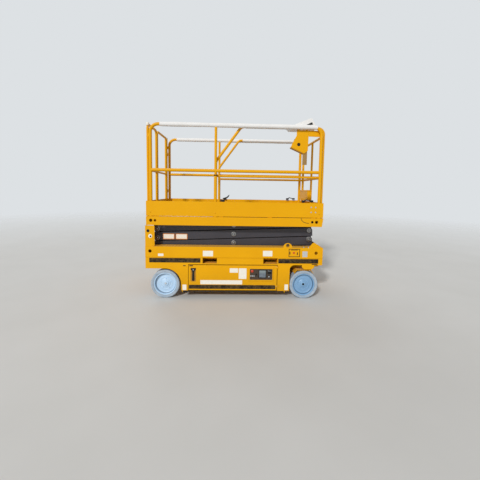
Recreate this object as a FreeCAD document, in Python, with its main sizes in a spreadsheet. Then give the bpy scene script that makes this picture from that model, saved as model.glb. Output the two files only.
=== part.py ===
# Electric slab scissor lift, stowed: millimetres, +X to the steered end, +Z up, origin on the floor
# under the middle. Each outline below is the machine's right side (-Y); the left side is its mirror.
import FreeCAD, Part
import math
import os
import Sketcher
from FreeCAD import Placement, Rotation, Vector

os.makedirs("parts", exist_ok=True)
doc = FreeCAD.newDocument("scissor_lift")

# Dimensions: alias, value in mm or degrees or the formula that ties it to others, what it is
DIMENSIONS = [
    ("half_length", 1178, "centre to either end of the chassis"),
    ("half_width", 585, "centre to the outermost side face"),
    ("rear_axle", "=-half_length + 255", "x of the rear axle"),
    ("wheel_base", "=2 * half_length - 496", "rear axle to front kingpins"),
    ("tyre_radius", 190.5, "solid tyre"),
    ("tyre_width", 127, "solid tyre"),
    ("wheel_face", "=half_width - 12", "y of the tyres' outer sidewall"),
    ("rim_radius", "=tyre_radius - 38.5", "seat of the tyre on its rim"),
    ("hub_radius", 60, "hub cap ring"),
    ("spindle_radius", 25, "spindles inside the hubs"),
    ("plate", 8, "side plates, doors, flanges"),
    ("band", 6, "upper band stands this far out of the side plates"),
    ("beam_low", "=2 * tyre_radius + 81", "underside of the side beams"),
    ("beam_step", "=beam_low + 94", "lower edge of the upper band"),
    ("beam_top", "=beam_low + 238", "top of the side beams"),
    ("beam_inner", "=half_width - 140", "y of the side beams' inner face"),
    ("arch_radius", "=tyre_radius + 22.5", "rear wheel arch about the axle"),
    ("leg_low", 105, "underside of the legs"),
    ("rear_leg_front", "=rear_axle + arch_radius + 93", "front edge of the rear legs"),
    ("front_leg_rear", "=rear_axle + wheel_base - 360", "rear edge of the front legs"),
    ("front_leg_front", "=rear_axle + wheel_base - 197", "front edge of the front legs"),
    ("front_arch_corner", 65, "corner radius of the front wheel opening"),
    ("pocket_low", "=beam_low + 14", "sill of the fork pockets"),
    ("rear_pocket", "=rear_leg_front + 285", "middle of the rear fork pocket"),
    ("front_pocket", "=front_leg_rear - 100", "middle of the front fork pocket"),
    ("pocket_width", 190, "fork pocket"),
    ("way_top", "=beam_low + 41", "roof of the fork way under the scissors"),
    ("spine_half", 150, "half the width of the belly spine"),
    ("spine_low", 150, "underside of the belly spine"),
    ("spine_top", "=beam_low - 7", "top of the belly spine"),
    ("nose_low", "=tyre_radius + 119.5", "underside of the spine over the tie rod"),
    ("kingpin_y", "=half_width - 185", "y of the kingpins"),
    ("kingpin_radius", 20, "kingpins"),
    ("axle_low", "=tyre_radius - 40.5", "underside of the front and rear axle beams"),
    ("axle_top", "=tyre_radius + 40.5", "top of the front and rear axle beams"),
    ("steer_arm", 110, "kingpin to tie rod joint"),
    ("fit", 0.05, "radial clearance of a running pin"),
    ("gap", 8, "doors and moving panels to their frames"),
    ("door_low", 112, "lower edge of the swing-out doors"),
    ("door_top", "=beam_low - 9", "upper edge of the swing-out doors"),
    ("hinge_y", "=half_width - 9", "y of the door hinge pins"),
    ("tray_inner", "=spine_half + 55", "y of the trays' inner edge"),
    ("tray_free_end", "=rear_leg_front + 77", "x of the trays' free end"),
    ("guard_y", "=half_width - 19", "y of the pothole guards' pivots"),
    ("guard_z", 93, "height of the pothole guards' pivots"),
    ("guard_drop", 76, "pivot to the guards' free edge"),
    ("pivot_x", "=-half_length + 118", "x of the fixed scissor pivots"),
    ("pivot_low", "=beam_low + 79", "height of the lowest scissor pivots"),
    ("level_rise", 123.5, "height of one stowed scissor level"),
    ("pin_span", "=2 * half_length - 265.35", "lower pin to upper pin of every arm"),
    ("arm_height", 112, "scissor arm section"),
    ("arm_width", 50, "scissor arm section"),
    ("arm_tilt", 1.15, "arm section is this much flatter than its pin line"),
    ("outer_arm_y", "=half_width - 215", "y of the outer arms' inner face"),
    ("inner_arm_y", "=outer_arm_y - arm_width - 10", "y of the inner arms' inner face"),
    ("arm_pin_radius", 25, "scissor pins"),
    ("arm_pin_bore", 13.5, "hollow of the scissor pins"),
    ("arm_eye_radius", 45, "eyes of the arms; the section ends as far beyond the pin"),
    ("arm_chamfer", 22, "corner taken off the arms' ends on the eye's side"),
    ("boss_radius", 39, "rings on the arms' outer faces"),
    ("cross_tube_radius", 38, "tubes between the inner arms"),
    ("cross_tube_inset", 150, "arm pin to cross tube"),
    ("lug_inset", 235, "arm pin to the lift cylinder's pin"),
    ("barrel_radius", 52, "lift cylinder barrel"),
    ("rod_radius", 32, "lift cylinder rod"),
    ("cylinder_pin_radius", 20, "lift cylinder pins"),
    ("eye_half", 52, "half the width of the lift cylinder's eyes"),
    ("block_half", 60, "half the length of a slide block"),
    ("block_rise", 30, "slide block's pin to its sliding face"),
    ("slide_gap", 0.3, "slide block to its track"),
    ("track_end", "=pivot_x + 0.44 * pin_span", "inner end of the slide tracks"),
    ("deck_low", "=pivot_low + 4 * level_rise + 50", "underside of the platform floor"),
    ("deck_thick", 12, "platform floor"),
    ("deck_beam_low", "=deck_low - 103", "underside of the platform's side beams"),
    ("deck_rear", "=-half_length + 15", "rear end of the platform"),
    ("deck_front", "=half_length - 12", "front end of the platform"),
    ("deck_rake", 16, "the deck beams' front ends lean back this far"),
    ("toe_low", "=deck_low + 18", "lower edge of the toe boards"),
    ("toe_top", "=toe_low + 194", "upper edge of the toe boards"),
    ("toe_face", "=half_width - 6", "y of the toe boards' outer face"),
    ("rail_y", "=half_width - 31", "y of the main guard rails"),
    ("rail_radius", 21, "guard rail tube"),
    ("top_rail", 2280, "height of the main top rail"),
    ("mid_rail", "=deck_low + 0.5146 * (top_rail - deck_low)", "height of the main mid rail"),
    ("rail_bend", 100, "bend radius of the main top rail"),
    ("rear_post", "=-half_length + 73", "x of the main rails' rear post"),
    ("mid_post", "=-0.226 * half_length", "x of the main rails' middle post"),
    ("front_post", "=half_length - 70", "x of the main rails' front post"),
    ("sleeve_radius", 30, "foam sleeve on the top rails"),
    ("gate_x", "=-half_length + 36", "x of the entry gate"),
    ("gate_hinge_y", "=rail_y - 47", "y of the entry gate's hinge post"),
    ("gate_split", -130, "y where the entry gate meets the fixed rear rail"),
    ("gate_rail_radius", 16, "gate tube"),
    ("inner_rail_y", "=rail_y - 54", "y of the extension's guard rails"),
    ("inner_rail_radius", 18, "extension rail tube"),
    ("inner_top_rail", "=top_rail", "height of the extension's top rail"),
    ("inner_mid_rail", "=mid_rail - 64", "height of the extension's mid rail"),
    ("inner_bend", 80, "bend radius of the extension's rails"),
    ("inner_post_radius", "=inner_rail_radius - 3", "middle post of the extension's front rail"),
    ("inner_front", "=half_length - 26", "x of the extension's front rail"),
    ("inner_rear", "=mid_post", "x of the extension's rear posts"),
    ("inner_knee", "=inner_mid_rail + 0.2935 * (inner_top_rail - inner_mid_rail)", "height where the extension's rail leaves its post"),
    ("inner_shoulder", "=inner_rear + 331", "x where that rail reaches its full height"),
    ("extension_low", "=deck_low + 20", "underside of the extension floor"),
]

sheet = doc.addObject("Spreadsheet::Sheet", "sizes")
for row, (alias, amount, meaning) in enumerate(DIMENSIONS, start=1):
    sheet.set("A%d" % row, alias)
    sheet.set("B%d" % row, str(amount))
    sheet.set("C%d" % row, meaning)
    sheet.setAlias("B%d" % row, alias)
doc.recompute()


class Size:
    """A length with two faces: the text that binds a property to the sheet, and its number now."""

    def __init__(self, text, value):
        self.text = text
        self.value = value

    def joined(self, sign, other, result):
        return Size("(%s %s %s)" % (self.text, sign, other.text), result)

    def __add__(self, other):
        other = as_size(other)
        return self.joined("+", other, self.value + other.value)

    def __sub__(self, other):
        other = as_size(other)
        return self.joined("-", other, self.value - other.value)

    def __mul__(self, other):
        other = as_size(other)
        return self.joined("*", other, self.value * other.value)

    def __truediv__(self, other):
        other = as_size(other)
        return self.joined("/", other, self.value / other.value)

    def __radd__(self, other):
        return as_size(other) + self

    def __rsub__(self, other):
        return as_size(other) - self

    def __rmul__(self, other):
        return as_size(other) * self

    def __neg__(self):
        return Size("(0 - %s)" % self.text, -self.value)


def as_size(amount):
    return amount if isinstance(amount, Size) else Size(repr(float(amount)), float(amount))


class Sizes:
    """Reads the sheet: d.plate is the Size of the cell called plate."""

    def __getattr__(self, alias):
        return Size("sizes." + alias, float(sheet.get(alias)))


d = Sizes()
nodes = []


# Helpers: each makes one object of the document and binds its sizes to the sheet
def place(item, x=0, y=0, z=0, axis=None, angle=0):
    if axis is not None:
        item.Placement = Placement(Vector(), Rotation(Vector(*axis), 1))
        item.setExpression("Placement.Rotation.Angle", as_size(angle).text)
    for letter, amount in zip("xyz", (x, y, z)):
        item.setExpression("Placement.Base." + letter, as_size(amount).text)
    return item


def box(name, x, y, z):
    item = doc.addObject("Part::Box", name)
    for side, (low, high) in zip(("Length", "Width", "Height"), (x, y, z)):
        item.setExpression(side, (as_size(high) - low).text)
    return place(item, x[0], y[0], z[0])


def rod(name, along, radius, span, at):
    """A round bar: along X, Y or Z, from span[0] to span[1]; at gives the two other coordinates."""
    item = doc.addObject("Part::Cylinder", name)
    item.setExpression("Radius", as_size(radius).text)
    item.setExpression("Height", (as_size(span[1]) - span[0]).text)
    if along == "X":
        return place(item, span[0], at[0], at[1], (0, 1, 0), 90)
    if along == "Y":
        return place(item, at[0], span[0], at[1], (-1, 0, 0), 90)
    return place(item, at[0], at[1], span[0])


def fuse(name, items):
    item = doc.addObject("Part::MultiFuse", name)
    item.Shapes = items
    item.Refine = True
    return item


def cut(name, base, tools):
    item = doc.addObject("Part::Cut", name)
    item.Base = base
    item.Tool = tools[0] if len(tools) == 1 else fuse(name + "_tools", tools)
    item.Refine = True
    return item


def mirrored(name, source):
    item = doc.addObject("Part::Mirroring", name)
    item.Source = source
    item.Normal = Vector(0, 1, 0)
    return item


def both(name, source):
    """The piece and its mirror on the machine's left side, as two solids of one object."""
    item = doc.addObject("Part::Compound", name)
    item.Links = [source, mirrored(name + "_left", source)]
    return item


def node(name, item):
    item.Label = name
    nodes.append(item)
    return item


def outline(name, points, y_low, y_high):
    """A plate cut to an outline in the XZ plane. A point is (x, z), or (x, z, mx, mz), which is
    reached by an arc through (mx, mz)."""
    body = doc.addObject("PartDesign::Body", name)
    plane = next(item for item in body.Origin.OriginFeatures if item.Role == "XZ_Plane")
    sketch = body.newObject("Sketcher::SketchObject", name + "_sketch")
    sketch.AttachmentSupport = [(plane, "")]
    sketch.MapMode = "FlatFace"
    corners = [[as_size(amount).value for amount in point] for point in points]
    for start, end in zip(corners, corners[1:] + corners[:1]):
        first = Vector(start[0], start[1], 0)
        last = Vector(end[0], end[1], 0)
        if len(end) == 4:
            edge = Part.Arc(first, Vector(end[2], end[3], 0), last)
        else:
            edge = Part.LineSegment(first, last)
        sketch.addGeometry(edge, False)
    pad = body.newObject("PartDesign::Pad", name + "_pad")
    pad.Profile = sketch
    pad.setExpression("Length", (as_size(y_high) - y_low).text)
    body.Tip = pad
    # a pad from the XZ plane grows to -Y, so the body moves to the plate's far face
    return place(body, 0, y_high, 0)


def turned(name, points, x, y, z):
    """A body of revolution about an axis along Y. Its outline is (radius, y) points."""
    body = doc.addObject("PartDesign::Body", name)
    plane = next(item for item in body.Origin.OriginFeatures if item.Role == "XY_Plane")
    sketch = body.newObject("Sketcher::SketchObject", name + "_sketch")
    sketch.AttachmentSupport = [(plane, "")]
    sketch.MapMode = "FlatFace"
    corners = [[as_size(amount).value for amount in point] for point in points]
    for start, end in zip(corners, corners[1:] + corners[:1]):
        first = Vector(start[0], start[1], 0)
        last = Vector(end[0], end[1], 0)
        if len(end) == 4:
            edge = Part.Arc(first, Vector(end[2], end[3], 0), last)
        else:
            edge = Part.LineSegment(first, last)
        sketch.addGeometry(edge, False)
    turn = body.newObject("PartDesign::Revolution", name + "_turn")
    turn.Profile = sketch
    turn.ReferenceAxis = (sketch, ["V_Axis"])
    turn.Angle = 360
    body.Tip = turn
    return place(body, x, y, z)


def bent_tube(name, points, radius, bend=0):
    """A round bar along straight runs, with an arc of the bend radius at each inner point."""
    path = [Vector(*[as_size(amount).value for amount in point]) for point in points]
    radius = as_size(radius).value
    bend = as_size(bend).value
    edges = []
    start = path[0]
    for before, corner, after in zip(path, path[1:], path[2:]):
        arriving = (before - corner).normalize()
        leaving = (after - corner).normalize()
        half_turn = (math.pi - arriving.getAngle(leaving)) / 2
        setback = bend * math.tan(half_turn)
        first = corner + arriving * setback
        last = corner + leaving * setback
        inward = (arriving + leaving).normalize()
        middle = corner + inward * (bend / math.cos(half_turn) - bend)
        edges.append(Part.LineSegment(start, first).toShape())
        edges.append(Part.Arc(first, middle, last).toShape())
        start = last
    edges.append(Part.LineSegment(start, path[-1]).toShape())
    along = path[1] - path[0]
    section = Part.Wire([Part.Circle(path[0], along, radius).toShape()])
    item = doc.addObject("Part::Feature", name)
    item.Shape = Part.Wire(edges).makePipeShell([section], True, True)
    return item


# Places that several pieces share
front_axle = d.rear_axle + d.wheel_base
wheel_middle = d.wheel_face - d.tyre_width / 2
axle_height = d.tyre_radius
side_face = d.half_width - d.band
side_inner = side_face - d.plate
pivot_span = Size("sizes.pin_span * cos(asin(sizes.level_rise / sizes.pin_span))",
                  math.sqrt(d.pin_span.value ** 2 - d.level_rise.value ** 2))
stow_angle = Size("asin(sizes.level_rise / sizes.pin_span) / 1deg",
                  math.degrees(math.asin(d.level_rise.value / d.pin_span.value)))
slide_x = d.pivot_x + pivot_span
pivot_top = d.pivot_low + d.level_rise * 4
hinge_heights = (d.door_low + 38, d.door_top - 48)
lifting_eye_x = d.front_leg_front - 35
panel_span = (d.front_leg_rear - 373, d.front_leg_rear - 69)
rear_pocket_span = (d.rear_pocket - d.pocket_width / 2, d.rear_pocket + d.pocket_width / 2)
front_pocket_span = (d.front_pocket - d.pocket_width / 2, d.front_pocket + d.pocket_width / 2)
guard_span = (d.rear_leg_front - 65, d.front_leg_front - 75)


# Chassis: side plates with legs and arches, hollow side beams, belly spine and axle beams
def side_plate():
    arch_side = d.rear_axle + d.arch_radius
    arch_top = axle_height + d.arch_radius
    slope = d.arch_radius * math.sqrt(0.5)
    corner = d.front_arch_corner
    bow = corner * (1 - math.sqrt(0.5))
    outer = outline("side_plate", [
        (-d.half_length, arch_top),
        (d.rear_axle, arch_top),
        (arch_side, axle_height, d.rear_axle + slope, axle_height + slope),
        (arch_side, d.leg_low),
        (d.rear_leg_front, d.leg_low),
        (d.rear_leg_front, d.beam_low),
        (d.front_leg_rear, d.beam_low),
        (d.front_leg_rear, d.leg_low),
        (d.front_leg_front, d.leg_low),
        (d.front_leg_front, d.beam_low - corner),
        (d.front_leg_front + corner, d.beam_low, d.front_leg_front + bow, d.beam_low - bow),
        (d.half_length, d.beam_low),
        (d.half_length, d.beam_top),
        (-d.half_length, d.beam_top),
    ], -side_face, -side_inner)
    windows = [box("pocket_window_%d" % i, span, (-d.half_width, -side_inner + 1),
                   (d.pocket_low, d.beam_step))
               for i, span in enumerate((rear_pocket_span, front_pocket_span))]
    return cut("side_plate_cut", outer, windows)


def side_beam():
    full = (-d.half_length, d.half_length)
    pieces = [
        box("upper_band", full, (-d.half_width, -side_face), (d.beam_step, d.beam_top)),
        box("beam_roof", full, (-side_face, -d.beam_inner), (d.beam_top - d.plate, d.beam_top)),
        box("beam_web", full, (-d.beam_inner - d.plate, -d.beam_inner), (d.beam_low, d.beam_top)),
        box("beam_floor", full, (-side_inner, -d.beam_inner), (d.beam_low, d.beam_low + d.plate)),
    ]
    way = [box("way_%d" % i, span, (-side_inner, 0), (d.beam_low + d.plate, d.way_top))
           for i, span in enumerate((rear_pocket_span, front_pocket_span))]
    return [pieces[0], pieces[1], pieces[3], cut("beam_web_cut", pieces[2], way)]


def slope_plate(name, x, points):
    """A plate along X whose section in the YZ plane is given by its corners."""
    corners = [Vector(x[0].value, as_size(y).value, as_size(z).value) for y, z in points]
    face = Part.Face(Part.makePolygon(corners + corners[:1]))
    item = doc.addObject("Part::Feature", name)
    item.Shape = face.extrude(Vector(x[1].value - x[0].value, 0, 0))
    return item


def chassis():
    pieces = [side_plate()] + side_beam()
    for i, span in enumerate((rear_pocket_span, front_pocket_span)):
        pieces.append(slope_plate("pocket_guide_%d" % i, span, [
            (-side_inner, d.beam_step + d.plate),
            (-side_inner, d.beam_step),
            (-d.beam_inner - d.plate, d.way_top),
            (-d.beam_inner - d.plate, d.way_top + d.plate),
        ]))
    # legs are folded channels under the beams, capped at the bottom
    leg_inner = side_inner - 100
    rear_leg = (d.rear_axle + d.arch_radius, d.rear_leg_front)
    box_leg = (d.front_leg_rear, d.front_leg_rear + 83)
    for name, (low, high) in (("rear_leg", rear_leg), ("front_leg", box_leg)):
        height = (d.leg_low, d.beam_low)
        pieces.append(box(name + "_back", (low, low + d.plate), (-side_inner, -leg_inner), height))
        pieces.append(box(name + "_fore", (high - d.plate, high), (-side_inner, -leg_inner), height))
        pieces.append(box(name + "_cap", (low, high), (-side_inner, -leg_inner),
                          (d.leg_low, d.leg_low + d.plate)))
        pieces.append(box(name + "_sill", (low, high), (-leg_inner - d.plate, 0),
                          (d.leg_low, d.leg_low + 80)))
    # belly spine, deep between the legs and shallow over the tie rod
    deep = (d.rear_axle + d.arch_radius, d.front_leg_rear + 83)
    pieces.append(box("spine_deep", deep, (-d.spine_half, 0), (d.leg_low, d.spine_top)))
    pieces.append(box("spine_nose", (deep[1], d.half_length), (-d.spine_half, 0),
                      (d.nose_low, d.spine_top)))
    # end plates and the cross boxes that tie the beams together
    ends = (d.half_length - d.plate, d.half_length)
    pieces.append(box("front_end", ends, (-d.beam_inner, 0), (d.beam_low, d.beam_top)))
    pieces.append(box("rear_end", (-ends[1], -ends[0]), (-side_inner, 0),
                      (axle_height + d.arch_radius, d.beam_top)))
    pieces.append(box("front_cross", (ends[0] - 120, ends[0]), (-d.beam_inner, 0),
                      (d.nose_low + 100, d.beam_low + 2 * d.plate)))
    pieces.append(box("rear_cross", (-ends[0], deep[0]), (-d.beam_inner + 12, 0),
                      (axle_height + d.arch_radius, d.beam_low + 2 * d.plate)))
    pieces.append(box("rear_cross_tie", (-ends[0], -ends[0] + 60), (-d.beam_inner, 0),
                      (axle_height + d.arch_radius, d.beam_low + 2 * d.plate)))
    # front axle beam with its kingpin eye, hung from the spine by a web behind the tie rod
    axle_x = (front_axle - 42, front_axle + 42)
    axle_z = (d.axle_low, d.axle_top)
    pieces.append(box("axle_beam", axle_x, (-d.kingpin_y, 0), axle_z))
    pieces.append(rod("kingpin_eye", "Z", 38, axle_z, (front_axle, -d.kingpin_y)))
    pieces.append(box("axle_web", (front_axle - 17, front_axle + 42), (-d.spine_half, 0),
                      (d.axle_top, d.nose_low)))
    # slide track: an angle inside the beam, open to the middle
    pieces.append(box("slide_track", (d.track_end, d.half_length - 60),
                      (-d.beam_inner, -d.outer_arm_y + 3),
                      (d.pivot_low - d.block_rise - d.slide_gap - d.plate,
                       d.pivot_low - d.block_rise - d.slide_gap)))
    # lugs of the fixed scissor pivots, in the plane of the inner arms
    lug_y = (-d.inner_arm_y - d.arm_width + 2, -d.inner_arm_y - 2)
    pieces.append(rod("pivot_lug", "Y", d.boss_radius, lug_y, (d.pivot_x, d.pivot_low)))
    pieces.append(box("pivot_lug_foot", (d.pivot_x - d.boss_radius, d.pivot_x + d.boss_radius),
                      lug_y, (d.beam_low, d.pivot_low)))
    # lifting eye and end gusset on top of the beam, stop bracket over the front wheel
    pieces.append(outline("lifting_eye", [
        (lifting_eye_x - 60, d.beam_top - 4), (lifting_eye_x + 60, d.beam_top - 4),
        (lifting_eye_x + 60, d.beam_top),
        (lifting_eye_x - 60, d.beam_top, lifting_eye_x, d.beam_top + 60)],
        -side_face, -side_inner))
    pieces.append(outline("end_gusset", [
        (d.half_length - 193, d.beam_top - 4), (d.half_length - 18, d.beam_top - 4),
        (d.half_length - 18, d.beam_top), (d.half_length - 110, d.beam_top + 66),
        (d.half_length - 136, d.beam_top + 66), (d.half_length - 193, d.beam_top)],
        -side_face, -side_inner))
    pieces.append(outline("stop_bracket", [
        (front_axle - 32, d.beam_low + 4), (front_axle - 32, d.beam_low - 30),
        (front_axle - 2, d.beam_low - 58), (front_axle + 103, d.beam_low - 58),
        (front_axle + 133, d.beam_low - 30), (front_axle + 133, d.beam_low + 4)],
        -side_face, -side_inner))
    # hinge knuckles of the swing-out door: pin and lower half stay on the leg
    for i, z in enumerate(hinge_heights):
        at = (d.front_leg_rear + 4, -d.hinge_y)
        pieces.append(rod("leg_knuckle_%d" % i, "Z", 8, (z, z + 16), at))
        pieces.append(rod("leg_hinge_pin_%d" % i, "Z", 4, (z, z + 34), at))
        pieces.append(box("leg_leaf_%d" % i, (at[0], at[0] + 16), (-d.hinge_y - 4, -side_inner),
                          (z, z + 16)))
    # lugs for the pothole guards' bars
    for i, low in enumerate((guard_span[0] - 16, guard_span[1] + 6)):
        pieces.append(box("guard_lug_%d" % i, (low, low + 10), (-side_face, -d.guard_y + 11),
                          (d.guard_z - 10, d.leg_low + d.plate)))
    half = fuse("chassis_half", pieces)
    notch_x = (d.front_leg_rear - 1, d.front_leg_rear + 4 + 8 + 0.5)
    bores = [box("hinge_notch_%d" % i, notch_x, (-d.half_width, -side_inner + 5),
                 (z + 16, z + 35)) for i, z in enumerate(hinge_heights)]
    bores += [
        rod("guard_bore", "X", 6 + d.fit, (guard_span[0] - 30, guard_span[1] + 30),
            (-d.guard_y, d.guard_z)),
        rod("kingpin_bore", "Z", d.kingpin_radius + d.fit, (0, d.nose_low),
            (front_axle, -d.kingpin_y)),
        rod("pivot_bore", "Y", d.arm_pin_radius + d.fit, (-d.beam_inner, 0),
            (d.pivot_x, d.pivot_low)),
        rod("rear_eyelet", "Y", 22, (-d.half_width - 1, -side_inner + 1),
            (-d.half_length + 62, d.beam_top - 62)),
        rod("front_eyelet", "Y", 22, (-d.half_width - 1, -side_inner + 1),
            (d.half_length - 90, d.beam_top - 72)),
        rod("lifting_eye_hole", "Y", 24, (-d.half_width - 1, -side_inner + 1),
            (lifting_eye_x, d.beam_top + 26)),
    ]
    half_cut = cut("chassis_half_cut", half, bores)
    return node("chassis_frame", fuse("chassis_frame", [half_cut, mirrored("chassis_other", half_cut)]))


# Rear ladder: a side column each side with its rungs, standing on the chassis end
def ladder():
    rear = (-d.half_length, -d.half_length + 100)
    height = (d.beam_top, d.deck_beam_low - d.gap)
    column = fuse("ladder_column", [
        box("column_side", rear, (-side_face, -side_inner), height),
        box("column_back", (-d.half_length, -d.half_length + d.plate), (-side_face, -side_face + 70),
            height),
    ])
    holes = [rod("column_hole_%d" % i, "Y", 20, (-d.half_width, -side_inner + 1),
                 (-d.half_length + x, z)) for i, (x, z) in enumerate(((38, d.beam_top + 205), (66, d.beam_top + 136)))]
    side = cut("ladder_side", column, holes)
    rungs = [rod("rung_%d" % i, "Y", 13, (-side_inner, side_inner), (-d.half_length + 30, z))
             for i, z in enumerate((d.beam_top + 90, d.beam_top + 220))]
    return node("ladder", fuse("ladder", [side, mirrored("ladder_left_side", side)] + rungs))


# Rear axle: a beam under the chassis with a brake housing and a spindle at each end
def rear_axle():
    beam = box("rear_beam", (d.rear_axle - 42, d.rear_axle + 42), (-d.kingpin_y, d.kingpin_y),
               (d.axle_low, d.axle_top))
    pieces = [beam]
    for i, side in enumerate((-1, 1)):
        low, high = (d.kingpin_y - 100, d.kingpin_y - 60)
        if side < 0:
            low, high = (-high, -low)
        pieces.append(box("rear_hanger_%d" % i, (d.rear_axle - 60, d.rear_axle + 60), (low, high),
                          (d.axle_low, axle_height + d.arch_radius)))
    ends = []
    for reach, radius in ((d.kingpin_y + 30, 75), (wheel_middle + 30, d.spindle_radius)):
        ends.append(rod("rear_end_%d" % len(ends), "Y", radius, (-reach, reach),
                        (d.rear_axle, axle_height)))
    return node("rear_axle", fuse("rear_axle", pieces + ends))


# Steering knuckle: kingpin, fork round the axle eye, spindle, steering arm and wheel fender
def knuckle(name):
    pin = (front_axle, -d.kingpin_y)
    spread = d.gap - 3
    upper = (d.axle_top + spread, d.axle_top + spread + 22)
    lower = (d.axle_low - spread - 22, d.axle_low - spread)
    wall_y = (-d.kingpin_y - 66, -d.kingpin_y - 46)
    pieces = [rod(name + "_kingpin", "Z", d.kingpin_radius, (lower[0], upper[1]), pin)]
    for level, (low, high) in (("upper", upper), ("lower", lower)):
        pieces.append(rod("%s_%s_eye" % (name, level), "Z", 38, (low, high), pin))
        pieces.append(box("%s_%s_plate" % (name, level), (front_axle - 38, front_axle + 38),
                          (wall_y[0], -d.kingpin_y), (low, high)))
    pieces.append(box(name + "_wall", (front_axle - 45, front_axle + 45), wall_y,
                      (lower[0], upper[1])))
    pieces.append(rod(name + "_spindle", "Y", d.spindle_radius, (-wheel_middle - 30, wall_y[1]),
                      (front_axle, axle_height)))
    arm_z = (upper[1] - 4, upper[1] + 10)
    pieces.append(box(name + "_arm", (front_axle - d.steer_arm, front_axle),
                      (-d.kingpin_y - 15, -d.kingpin_y + 15), arm_z))
    pieces.append(rod(name + "_arm_eye", "Z", 18, arm_z,
                      (front_axle - d.steer_arm, -d.kingpin_y)))
    pieces.append(rod(name + "_joint_pin", "Z", 7, (arm_z[0], arm_z[1] + 24),
                      (front_axle - d.steer_arm, -d.kingpin_y)))
    # fender: a post rises inboard of the tyre and carries an eight-cornered plate over it
    top = axle_height + d.tyre_radius + 11
    pieces.append(box(name + "_post", (front_axle - 30, front_axle + 30),
                      (-d.kingpin_y - 28, -d.kingpin_y - 12), (upper[0], top)))
    pieces.append(fender(name, top))
    return fuse(name, pieces)


def fender(name, top):
    skin = [(-131, top - 47), (-98, top), (98, top), (131, top - 47)]
    inner = [(127, top - 49), (95, top - 5), (-95, top - 5), (-127, top - 49)]
    points = [(front_axle + x, z) for x, z in skin + inner]
    return outline(name + "_fender", points, -wheel_middle - 55, -d.kingpin_y - 12)


# Tie rod: eyes on the two steering arms' pins
def tie_rod():
    low = d.axle_top + d.gap - 3 + 22 + 10 + 5
    span = (-d.kingpin_y, d.kingpin_y)
    at = front_axle - d.steer_arm
    pieces = [rod("tie_bar", "Y", 8, span, (at, low + 9))]
    for i, side in enumerate(span):
        pieces.append(rod("tie_eye_%d" % i, "Z", 16, (low, low + 18), (at, side)))
    holes = [rod("tie_hole_%d" % i, "Z", 7 + d.fit, (low - 1, low + 19), (at, side))
             for i, side in enumerate(span)]
    return node("tie_rod", cut("tie_rod", fuse("tie_rod_solid", pieces), holes))


# Wheels: solid non-marking tyres with rounded shoulders on dished steel rims
def wheel(name, x, side):
    middle = wheel_middle * side
    half = d.tyre_width / 2
    shoulder = 8
    crown = d.tyre_radius
    tyre = turned(name + "_tyre", [
        (d.rim_radius, -half),
        (crown - shoulder, -half),
        (crown, -half + shoulder),
        (crown, half - shoulder),
        (crown - shoulder, half),
        (d.rim_radius, half),
    ], x, middle, axle_height)
    out = side
    # rim section from the hub bore outwards: hub, disc, dish, barrel and lips
    face = half - 6
    rim = turned(name + "_rim", [(radius, y * out) for radius, y in (
        (d.spindle_radius + d.fit, -10),
        (d.hub_radius, -10),
        (d.hub_radius, 22),
        (d.rim_radius - 22, 22),
        (d.rim_radius - 14, -half + 6),
        (d.rim_radius, -half + 6),
        (d.rim_radius, face),
        (d.rim_radius - 8, face),
        (d.rim_radius - 16, 34),
        (d.hub_radius, 34),
        (d.hub_radius - 4, 52),
        (33, 52),
        (30, 58),
        (0.5, 58),
        (0.5, 40),
        (d.spindle_radius + d.fit, 40),
    )], x, middle, axle_height)
    node("tyre_" + name, tyre)
    node("rim_" + name, rim)


# Swing-out trays: the near door carries the ground controls, both carry heavy boxes
def door(name, with_controls):
    span = (d.rear_leg_front + d.gap - 2, d.front_leg_rear - d.gap)
    skin = box(name + "_skin", span, (-side_face, -side_inner), (d.door_low, d.door_top))
    latch = d.rear_leg_front + 61
    tools = [box(name + "_latch_recess", (latch - 27, latch + 26), (-d.half_width, -side_inner + 1),
                 (d.door_low + 128, d.door_top - 45))]
    window = (d.door_low + 145, d.door_top - 46)
    pieces = []
    if with_controls:
        tools.append(box(name + "_window", panel_span, (-d.half_width, -side_inner + 1), window))
    slab = cut(name + "_slab", skin, tools)
    pieces.append(slab)
    # latch: a shallow pan behind the recess with its T handle
    pieces.append(box(name + "_pan", (latch - 35, latch + 34), (-side_inner, -side_inner + 14),
                      (d.door_low + 120, d.door_top - 37)))
    pieces.append(rod(name + "_stem", "Y", 8, (-side_face - 3, -side_inner + 2),
                      (latch, d.door_low + 212)))
    pieces.append(box(name + "_handle", (latch - 8, latch + 8), (-side_face - 4, -side_face + 4),
                      (d.door_low + 150, d.door_top - 67)))
    if with_controls:
        rim_out = box(name + "_rim_outer", (panel_span[0] - 16, panel_span[1] + 16),
                      (-d.half_width, -side_face), (window[0] - 16, window[1] + 16))
        rim_hole = box(name + "_rim_hole", panel_span, (-d.half_width, -side_face), window)
        pieces.append(cut(name + "_rim", rim_out, [rim_hole]))
    for i, z in enumerate(hinge_heights):
        at = (d.front_leg_rear + 4, -d.hinge_y)
        low = z + 16.3
        leaf = fuse("%s_leaf_%d" % (name, i), [
            rod("%s_knuckle_%d" % (name, i), "Z", 8, (low, low + 18), at),
            box("%s_strap_%d" % (name, i), (d.front_leg_rear - 30, at[0]),
                (-d.hinge_y - 8, -side_face + 2), (low, low + 18)),
        ])
        pieces.append(cut("%s_hinge_%d" % (name, i), leaf, [
            rod("%s_hinge_bore_%d" % (name, i), "Z", 4 + d.fit, (low - 1, low + 19), at)]))
    return fuse(name, pieces)


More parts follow.
